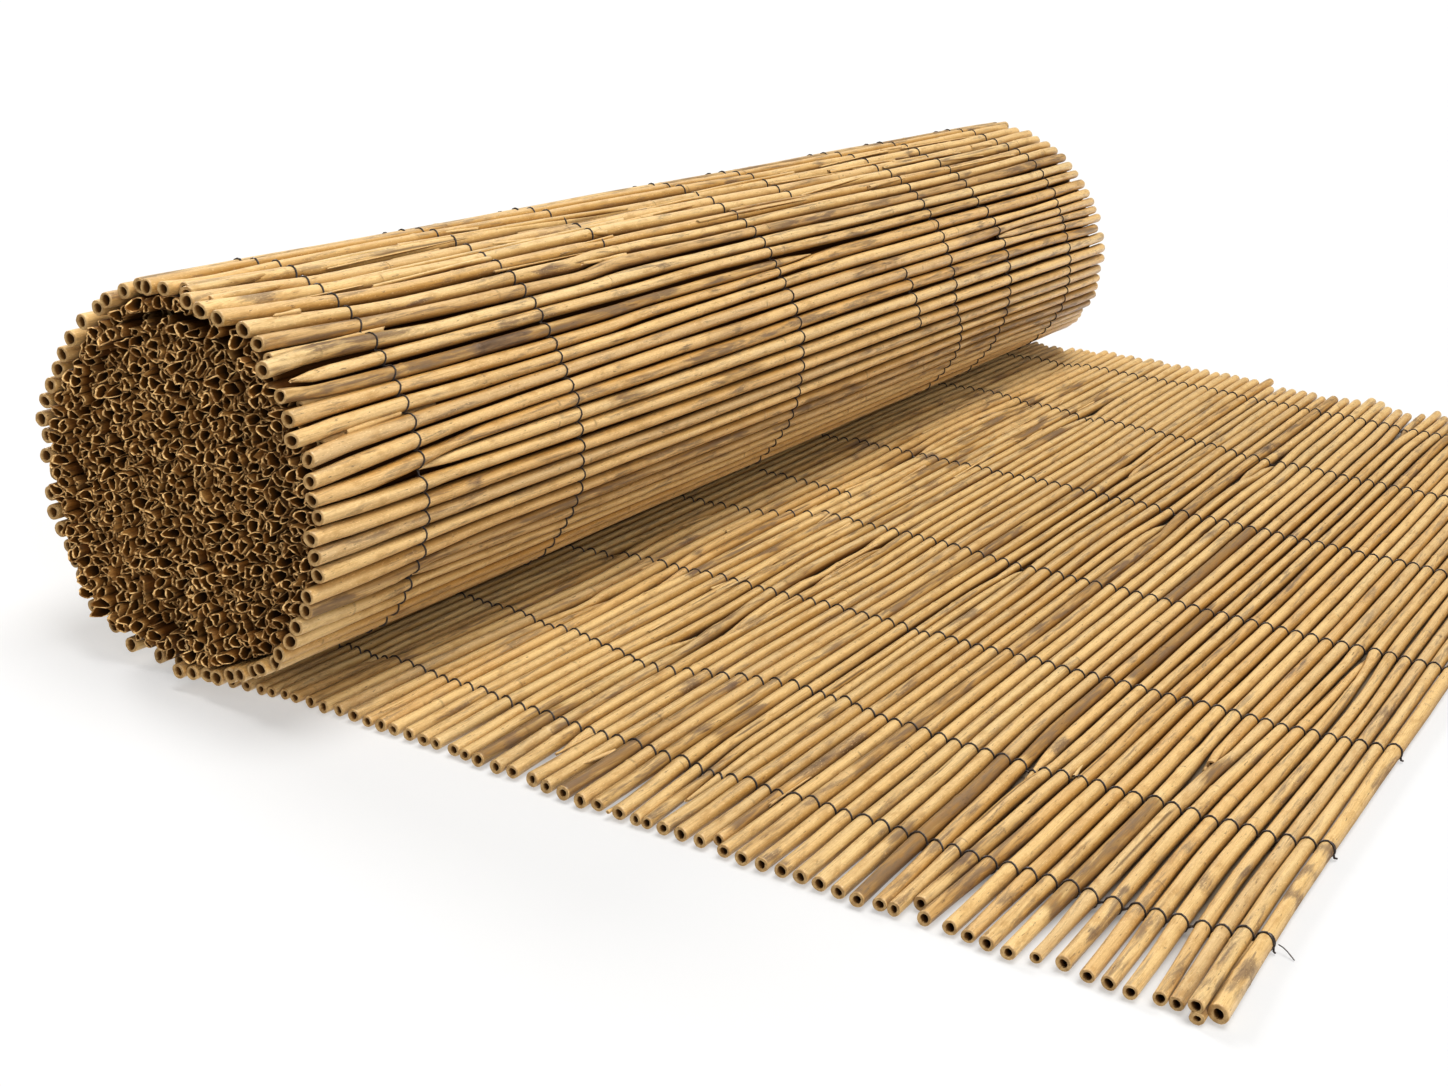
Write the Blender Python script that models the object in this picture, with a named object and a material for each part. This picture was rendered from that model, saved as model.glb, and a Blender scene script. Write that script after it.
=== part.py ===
"""Rolled bamboo mat: a mat of hollow canes, wound into a roll, with a loose end.

Metres, +Z up. X runs along the canes, with the sawn ends at both ends of X.
The roll lies on the surface. Its outermost wrap comes down the back (+Y),
passes under the roll and runs out flat over the surface towards -Y.

Two pieces of one mat:
  mat_roll       the wound form, one solid with the ridges of the outer canes,
                 a hollow at each end where the inner wraps stop short, and a
                 small flat spot where it lies
  mat_loose_end  the unrolled run of mat, a ridged sheet of canes side by side
"""

import math

import bmesh
import bpy
import numpy as np

# ---------------------------------------------------------------- named sizes
LOOSE_FAR_X = 1.0125       # far ends of the loose end's canes, which are a metre long
MAT_T = 0.0080             # thickness of the mat in the roll: one cane
LOOSE_T = 0.0068           # the same in the loose end, whose canes are thinner
ROLL_AXIS_Z = 0.0974       # height of the roll's middle
ROLL_PITCH = 0.0097        # cane to cane around the roll
TAIL_PITCH = 0.0084        # cane to cane along the loose end
TAIL_REACH = 0.4995        # front cane's centre, from under the roll's middle
CLEAR = 0.0003             # between the two pieces
WEB_HALF = 0.0009          # half thickness left between two neighbouring canes
CORE_CROWN = 0.0020        # the middle of the core's end stands this much further out
FLAT_ANGLE = 12.5          # the flat spot reaches this far behind the bottom
NEAR_JITTER = 0.0015       # unevenness of the sawn ends
FAR_JITTER = 0.0030
SPANS = 3                  # lengthwise divisions
SAG = 0.0008               # how far the canes bow between their ends

# Outermost wrap, by the angle from the bottom of the roll over its back.
# radius is to the cane centres, near_x and far_x are where the canes end, and
# recess is how far the inner wraps stop short of them.
WRAP_COLUMNS = ("angle", "radius", "near_x", "far_x", "recess")
WRAP = (
    (0.0, 0.0934, 0.0156, 1.008, 0.005),
    (12.5, 0.0957, 0.0130, 1.008, 0.005),
    (25.0, 0.0957, 0.0060, 1.007, 0.009),
    (45.0, 0.0946, 0.0040, 1.006, 0.012),
    (62.0, 0.0953, 0.0062, 1.005, 0.012),
    (90.0, 0.0946, 0.0080, 1.002, 0.012),
    (105.0, 0.0935, 0.0083, 0.998, 0.012),
    (120.0, 0.0917, 0.0077, 0.994, 0.012),
    (135.0, 0.0922, 0.0070, 0.989, 0.012),
    (150.0, 0.0926, 0.0056, 0.984, 0.012),
    (165.0, 0.0950, 0.0040, 0.980, 0.012),
    (180.0, 0.0950, 0.0019, 0.973, 0.012),
    (192.0, 0.0928, 0.0000, 0.969, 0.012),
    (213.0, 0.0945, -0.0028, 0.965, 0.012),
    (232.0, 0.0926, -0.0052, 0.964, 0.012),
    (255.0, 0.0920, -0.0072, 0.968, 0.012),
    (270.0, 0.0924, -0.0080, 0.975, 0.012),
    (285.0, 0.0941, -0.0083, 0.983, 0.012),
    (300.0, 0.0938, -0.0079, 0.990, 0.012),
    (312.0, 0.0928, -0.0073, 0.996, 0.012),
    (325.0, 0.0892, -0.0060, 1.002, 0.012),
    (336.0, 0.0876, -0.0040, 1.004, 0.012),
    (348.0, 0.0873, -0.0015, 1.005, 0.009),
    (360.0, 0.0863, 0.0000, 1.006, 0.006),
)

# Near ends of the loose end's canes, by distance from under the roll's middle.
TAIL_COLUMNS = ("reach", "near_x")
TAIL = (
    (0.000, 0.0150),
    (0.064, 0.0213),
    (0.150, 0.0211),
    (0.220, 0.0156),
    (0.340, 0.0130),
    (0.420, 0.0115),
    (0.510, 0.0145),
)

# Straw-coloured cane.
CANE_COLOUR = (0.52, 0.33, 0.13, 1.0)
CANE_ROUGHNESS = 0.5


# -------------------------------------------------------------------- helpers
def column(table, columns, name):
    """One named column of a table."""
    i = columns.index(name)
    return np.array([row[i] for row in table])


def smooth_at(xs, ys, x):
    """Value of a smooth curve through (xs, ys) at x, with no overshoot."""
    slope = np.diff(ys) / np.diff(xs)
    tangent = np.concatenate(([slope[0]], np.zeros(len(xs) - 2), [slope[-1]]))
    for i in range(1, len(xs) - 1):
        if slope[i - 1] * slope[i] > 0.0:
            tangent[i] = 2.0 * slope[i - 1] * slope[i] / (slope[i - 1] + slope[i])
    i = int(np.clip(np.searchsorted(xs, x) - 1, 0, len(xs) - 2))
    h = xs[i + 1] - xs[i]
    t = min(max((x - xs[i]) / h, 0.0), 1.0)
    return ((2 * t ** 3 - 3 * t ** 2 + 1) * ys[i] + (t ** 3 - 2 * t ** 2 + t) * h * tangent[i]
            + (3 * t ** 2 - 2 * t ** 3) * ys[i + 1] + (t ** 3 - t ** 2) * h * tangent[i + 1])


def unevenness(k, seed):
    """A repeatable value from -1 to 1 for cane k."""
    return math.sin(12.9898 * (k + 1) + 78.233 * seed) * math.cos(4.1414 * k + seed)


# Points across one cane, as shares of the pitch from its centre.
ACROSS = (-0.5, -0.36, -0.13, 0.13, 0.36)


def ridge(share, pitch, thickness):
    """Height of a cane's surface above its centre line, at a share of the pitch."""
    if abs(share) >= 0.5:
        return WEB_HALF
    radius = thickness / 2.0
    across = share * pitch
    round_height = math.sqrt(max(radius ** 2 - across ** 2, 0.0))
    if abs(share) < 0.2:
        return radius
    return max(round_height, WEB_HALF)


def end_offset(k, seed, share, size):
    """Unevenness of a cane's end, shared with its neighbour between the two."""
    here = unevenness(k, seed)
    if abs(share) >= 0.5:
        here = 0.5 * (here + unevenness(k - 1, seed))
    return size * here


def bridge(bm, ring_a, ring_b, closed=True):
    """Faces between two rings of the same number of vertices."""
    n = len(ring_a)
    for i in range(n if closed else n - 1):
        j = (i + 1) % n
        bm.faces.new((ring_a[i], ring_a[j], ring_b[j], ring_b[i]))


def finish_object(bm, name, material, place):
    """Turn the faces outwards, make the object and put it in its place."""
    bmesh.ops.recalc_face_normals(bm, faces=bm.faces)
    mesh = bpy.data.meshes.new(name)
    bm.to_mesh(mesh)
    bm.free()
    mesh.materials.append(material)
    mesh.shade_smooth()
    mesh.set_sharp_from_angle(angle=math.radians(50.0))
    obj = bpy.data.objects.new(name, mesh)
    obj.location = place
    bpy.context.scene.collection.objects.link(obj)
    return obj


def cane_material(name):
    material = bpy.data.materials.new(name)
    material.use_nodes = True
    shader = material.node_tree.nodes["Principled BSDF"]
    shader.inputs["Base Color"].default_value = CANE_COLOUR
    shader.inputs["Roughness"].default_value = CANE_ROUGHNESS
    shader.inputs["Metallic"].default_value = 0.0
    material.diffuse_color = CANE_COLOUR
    return material


# ----------------------------------------------------------------- wound form
def wrap_point(angle_deg):
    """Cane centre line of the outermost wrap, and its outward direction."""
    angles = column(WRAP, WRAP_COLUMNS, "angle")
    radii = column(WRAP, WRAP_COLUMNS, "radius")

    def at(a):
        r = smooth_at(angles, radii, a)
        return np.array([r * math.sin(math.radians(a)),
                         ROLL_AXIS_Z - r * math.cos(math.radians(a))])

    here = at(angle_deg)
    step = at(min(angle_deg + 0.5, 360.0)) - at(max(angle_deg - 0.5, 0.0))
    step /= np.linalg.norm(step)
    return here, np.array([step[1], -step[0]])


def wrap_angles():
    """Angle of every point across every cane of the outermost wrap."""
    fine = np.linspace(0.0, 360.0, 1441)
    track = np.array([wrap_point(a)[0] for a in fine])
    run = np.concatenate(([0.0], np.cumsum(np.linalg.norm(np.diff(track, axis=0), axis=1))))
    count = int(round(run[-1] / ROLL_PITCH))
    pitch = run[-1] / count
    rows = []
    for k in range(count):
        for share in ACROSS:
            rows.append((k, share, float(np.interp((k + 0.5 + share) * pitch, run, fine))))
    rows.append((count, -0.5, 360.0))
    return rows, pitch


def build_roll(material, place):
    angles = column(WRAP, WRAP_COLUMNS, "angle")
    near_x = column(WRAP, WRAP_COLUMNS, "near_x")
    far_x = column(WRAP, WRAP_COLUMNS, "far_x")
    recess = column(WRAP, WRAP_COLUMNS, "recess")
    rows, pitch = wrap_angles()
    tuck = LOOSE_T + CLEAR                     # underside above the loose end
    outer, inner, near, far, core_near, core_far = [], [], [], [], [], []
    for k, share, angle in rows:
        centre, outward = wrap_point(angle)
        y, z = centre + outward * ridge(share, pitch, MAT_T)
        if angle <= FLAT_ANGLE:                # the flat spot
            z = 0.0
            y = max(centre[0], 0.0)
        elif angle < 90.0:
            z = max(z, 0.0)
        elif angle > 270.0:                    # rides on the loose end
            z = max(z, tuck)
            y = min(y, 0.0)
        if angle >= 360.0:
            y, z = 0.0, tuck
        outer.append((y, z))
        inner.append(tuple(centre - outward * (MAT_T / 2.0)))
        near_here = smooth_at(angles, near_x, angle)
        far_here = smooth_at(angles, far_x, angle)
        depth = smooth_at(angles, recess, angle)
        near.append(near_here + end_offset(k, 1.0, share, NEAR_JITTER))
        far.append(far_here + end_offset(k, 2.0, share, FAR_JITTER))
        core_near.append(near_here + depth)
        core_far.append(far_here - depth)

    bm = bmesh.new()

    def ring(points, xs, bow=0.0):
        return [bm.verts.new((x, y, z + bow if z > MAT_T * 1.5 else z))
                for (y, z), x in zip(points, xs)]

    # Along the outside, from the near ends to the far ends.
    stations = []
    for s in range(SPANS + 1):
        t = s / SPANS
        xs = [(1 - t) * a + t * b for a, b in zip(near, far)]
        stations.append(ring(outer, xs, SAG * math.sin(math.pi * t)))
    for a, b in zip(stations, stations[1:]):
        bridge(bm, a, b)

    # Each end: the cane ends, the inside of the outer wrap, then the core.
    middle = [(0.5 * y, ROLL_AXIS_Z + 0.5 * (z - ROLL_AXIS_Z)) for y, z in inner]
    for edge, xs, core, out in ((stations[0], near, core_near, -1.0),
                                (stations[-1], far, core_far, 1.0)):
        hub_x = float(np.mean(core)) + out * CORE_CROWN
        lip = ring(inner, xs)
        floor = ring(inner, core)
        half = ring(middle, [0.5 * (x + hub_x) for x in core])
        hub = bm.verts.new((hub_x, 0.0, ROLL_AXIS_Z))
        bridge(bm, edge, lip)
        bridge(bm, lip, floor)
        bridge(bm, floor, half)
        for i in range(len(half)):
            bm.faces.new((half[i], half[(i + 1) % len(half)], hub))
    return finish_object(bm, "mat_roll", material, place)


# ------------------------------------------------------------------ loose end
def build_loose_end(material, place):
    reaches = column(TAIL, TAIL_COLUMNS, "reach")
    near_x = column(TAIL, TAIL_COLUMNS, "near_x")
    start = CLEAR                              # edge next to the roll
    end = TAIL_REACH + LOOSE_T / 2.0           # front edge
    count = int(round((end - start) / TAIL_PITCH))
    pitch = (end - start) / count
    top, under, near, far = [], [], [], []
    for k in range(count + 1):
        shares = ACROSS if k < count else (-0.5,)
        for share in shares:
            reach = start + (k + 0.5 + share) * pitch
            height = ridge(share, pitch, LOOSE_T)
            low = LOOSE_T / 2.0 - height
            if abs(share) < 0.2:
                low = 0.0
            elif abs(share) < 0.5:
                low *= 0.6
            top.append((-reach, LOOSE_T / 2.0 + height))
            under.append((-reach, low))
            near.append(smooth_at(reaches, near_x, reach) + end_offset(k, 3.0, share, NEAR_JITTER))
            far.append(LOOSE_FAR_X + end_offset(k, 4.0, share, FAR_JITTER))

    bm = bmesh.new()
    stations = []
    for s in range(SPANS + 1):
        t = s / SPANS
        xs = [(1 - t) * a + t * b for a, b in zip(near, far)]
        upper = [bm.verts.new((x, y, z)) for (y, z), x in zip(top, xs)]
        lower = [bm.verts.new((x, y, z)) for (y, z), x in zip(under, xs)]
        stations.append((upper, lower))
    for (upper_a, lower_a), (upper_b, lower_b) in zip(stations, stations[1:]):
        bridge(bm, upper_a, upper_b, closed=False)
        bridge(bm, lower_a, lower_b, closed=False)
        for i in (0, -1):                      # the edge by the roll, the front edge
            bm.faces.new((upper_a[i], upper_b[i], lower_b[i], lower_a[i]))
    for upper, lower in (stations[0], stations[-1]):
        bridge(bm, upper, lower, closed=False)
    return finish_object(bm, "mat_loose_end", material, place)


# ----------------------------------------------------------------------- main
def main():
    for obj in list(bpy.data.objects):
        bpy.data.objects.remove(obj, do_unlink=True)

    roll = build_roll(cane_material("roll_cane"), (0.0, 0.0, 0.0))
    loose = build_loose_end(cane_material("loose_cane"), (0.0, 0.0, 0.0))

    # The bottom centre of both together goes to the origin.
    corners = np.array([v.co[:] for obj in (roll, loose) for v in obj.data.vertices])
    low, high = corners.min(axis=0), corners.max(axis=0)
    for obj in (roll, loose):
        obj.location = (-0.5 * (low[0] + high[0]), -0.5 * (low[1] + high[1]), -low[2])


main()
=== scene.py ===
"""Looks of the rolled bamboo mat: canes, wound core, binding wire, light and camera.

Metres, +Z up, in the part's own frame. X runs along the canes.
"""

import math

import bpy
import numpy as np
from mathutils import Matrix, Vector


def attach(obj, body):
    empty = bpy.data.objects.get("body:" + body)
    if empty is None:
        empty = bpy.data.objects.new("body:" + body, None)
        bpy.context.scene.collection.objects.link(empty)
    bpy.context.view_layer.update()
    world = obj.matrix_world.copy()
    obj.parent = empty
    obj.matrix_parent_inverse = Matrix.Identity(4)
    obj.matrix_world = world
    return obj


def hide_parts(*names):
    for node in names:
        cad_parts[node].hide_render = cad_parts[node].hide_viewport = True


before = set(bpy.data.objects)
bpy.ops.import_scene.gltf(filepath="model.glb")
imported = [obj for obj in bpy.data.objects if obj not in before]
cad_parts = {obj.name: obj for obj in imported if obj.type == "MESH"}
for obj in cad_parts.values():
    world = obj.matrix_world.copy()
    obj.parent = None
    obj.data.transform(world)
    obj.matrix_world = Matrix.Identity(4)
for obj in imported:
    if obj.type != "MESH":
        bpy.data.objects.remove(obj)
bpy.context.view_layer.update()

# --------------------------------------------------------------------- sizes
# The canes are laid out with the near ends at X = 0 and the roll's axis at
# Y = 0; SHIFT takes that to the part's frame.
SHIFT = np.array([-0.502975, 0.202158, 0.0])
ROLL_AXIS_Z = 0.0974
ROLL_R = 0.0038            # radius of a cane of the outermost wrap
LOOSE_WIRE_R = 0.00046
ROLL_WIRE_R = 0.00045
CORE_SPACING = 0.0056      # tube to tube in the wound core

# Outermost wrap, by the angle from the bottom of the roll over its back:
# angle, radius to the cane centres, near end, far end.
WRAP = np.array([
    (0.0, 0.0934, 0.0156, 1.008), (12.5, 0.0957, 0.0130, 1.008), (25.0, 0.0957, 0.0060, 1.007),
    (45.0, 0.0946, 0.0040, 1.006), (62.0, 0.0953, 0.0062, 1.005), (90.0, 0.0946, 0.0080, 1.002),
    (105.0, 0.0935, 0.0083, 0.998), (120.0, 0.0917, 0.0077, 0.994), (135.0, 0.0922, 0.0070, 0.989),
    (150.0, 0.0926, 0.0056, 0.984), (165.0, 0.0950, 0.0040, 0.980), (180.0, 0.0950, 0.0019, 0.973),
    (192.0, 0.0928, 0.0000, 0.969), (213.0, 0.0945, -0.0028, 0.965), (232.0, 0.0926, -0.0052, 0.964),
    (255.0, 0.0920, -0.0072, 0.968), (270.0, 0.0924, -0.0080, 0.975), (285.0, 0.0941, -0.0083, 0.983),
    (300.0, 0.0938, -0.0079, 0.990), (312.0, 0.0928, -0.0073, 0.996), (325.0, 0.0892, -0.0060, 1.002),
    (336.0, 0.0876, -0.0040, 1.004), (348.0, 0.0873, -0.0015, 1.005), (360.0, 0.0863, 0.0000, 1.006),
])

# Canes of the outermost wrap that face the floor or the back: angles at the near end.
BACK_ANGLES = [
    3.0, 9.5, 16.0, 23.9, 32.2, 40.0, 45.9, 50.6, 55.2, 60.0, 65.4, 70.9, 76.4, 82.0, 87.9, 93.9,
    99.7, 105.6, 111.2, 117.2, 123.4, 130.0, 138.6, 146.6, 153.4, 159.7, 165.1, 170.9,
]
UNDER_ANGLES = [318.9, 324.4, 329.9, 335.6, 341.4, 347.2, 353.0, 357.9]

# Canes of the outermost wrap that show: near end (None: at the wrap's edge) and
# far end in millimetres, radius, then the angle at each of ROLL_STATIONS.
ROLL_STATIONS = [0.0, 20.0, 120.0, 240.0, 285.0, 360.0, 530.0, 710.0, 820.0, 935.0]
SHOWN_CANES = [
    (None, 950, 3.70, 176.6, 178.5, 181.8, 182.2, 183.8, 184.6, 184.8, 183.2, 181.6, 180.3),
    (None, 955, 3.70, 181.9, 182.8, 188.0, 188.1, 189.7, 190.5, 190.9, 189.3, 188.0, 185.6),
    (None, 962, 3.70, 187.9, 189.3, 194.3, 192.7, 194.8, 195.6, 195.0, 195.6, 194.2, 191.4),
    (None, 957, 3.70, 194.2, 195.8, 199.3, 198.3, 198.6, 199.2, 200.0, 201.0, 200.4, 197.4),
    (None, 955, 3.90, 199.7, 201.2, 205.5, 205.2, 204.8, 204.9, 205.3, 206.4, 205.8, 204.6),
    (None, 953, 3.60, 206.7, 207.7, 210.8, 211.4, 209.1, 209.8, 210.4, 211.4, 210.6, 209.3),
    (None, 953, 3.70, 212.8, 213.2, 215.7, 216.4, 214.4, 214.3, 215.5, 216.1, 215.8, 214.6),
    (None, 953, 3.70, 221.0, 220.0, 221.3, 220.8, 220.1, 220.0, 220.3, 220.9, 221.0, 220.3),
    (7, 955, 2.90, 225.4, 226.0, 225.9, 225.3, 225.1, 224.5, 225.4, 225.9, 226.0, 225.2),
    (None, 482, 3.50, 229.2, 230.5, 231.1, 230.8, 230.1, 229.7, None, None, None, None),
    (None, 957, 3.60, 235.8, 235.6, 235.8, 235.3, 234.3, 233.7, 231.5, 231.7, 231.8, 231.0),
    (None, 957, 3.60, 241.5, 240.8, 240.6, 239.8, 239.1, 238.3, 236.8, 237.2, 237.4, 236.3),
    (None, 962, 3.60, 247.7, 246.6, 245.6, 244.3, 243.9, 243.4, 242.2, 242.4, 241.8, 241.4),
    (760, 962, 2.80, None, None, None, None, None, None, None, None, 244.5, 245.8),
    (None, 965, 3.70, 253.4, 252.6, 250.6, 249.2, 248.9, 248.8, 247.7, 247.8, 248.2, 250.2),
    (None, 955, 3.70, 258.4, 258.4, 255.1, 254.4, 254.2, 254.0, 253.1, 253.2, 253.6, 255.2),
    (67, 967, 3.50, None, None, 259.6, 259.6, 259.4, 259.3, 259.0, 259.0, 259.5, 260.3),
    (None, 968, 3.60, 263.5, 263.9, 264.3, 264.6, 264.7, 264.6, 264.6, 265.0, 265.5, 266.2),
    (None, 970, 3.60, 268.8, 269.4, 269.5, 270.0, 270.2, 270.2, 270.0, 270.9, 271.4, 271.6),
    (None, 965, 3.60, 274.2, 274.6, 274.6, 275.1, 275.3, 275.5, 275.3, 275.9, 276.4, 276.6),
    (None, 967, 3.60, 279.9, 279.9, 279.6, 279.8, 280.0, 280.3, 280.0, 280.7, 281.1, 281.7),
    (None, 970, 3.60, 285.4, 285.3, 284.3, 284.6, 284.7, 284.8, 284.9, 285.1, 285.7, 286.5),
    (None, 975, 3.60, 290.4, 290.8, 288.7, 289.3, 289.4, 289.6, 289.6, 289.7, 290.3, 291.8),
    (60, 975, 3.40, None, None, 292.9, 293.9, 294.0, 294.2, 294.6, 294.8, 295.1, 297.2),
    (None, 972, 3.50, 295.7, 296.3, 297.3, 298.5, 298.7, 298.9, 299.3, 299.4, 299.7, 302.0),
    (None, 980, 3.50, 301.4, 301.6, 301.8, 302.9, 303.1, 303.3, 303.7, 303.9, 304.5, 306.4),
    (None, 988, 3.50, 307.3, 307.2, 307.0, 307.6, 307.8, 307.9, 308.3, 308.5, 309.2, 311.4),
    (None, 992, 3.50, 313.2, 312.8, 312.6, 312.8, 312.9, 313.0, 313.2, 313.4, 314.0, 316.2),
]

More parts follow.
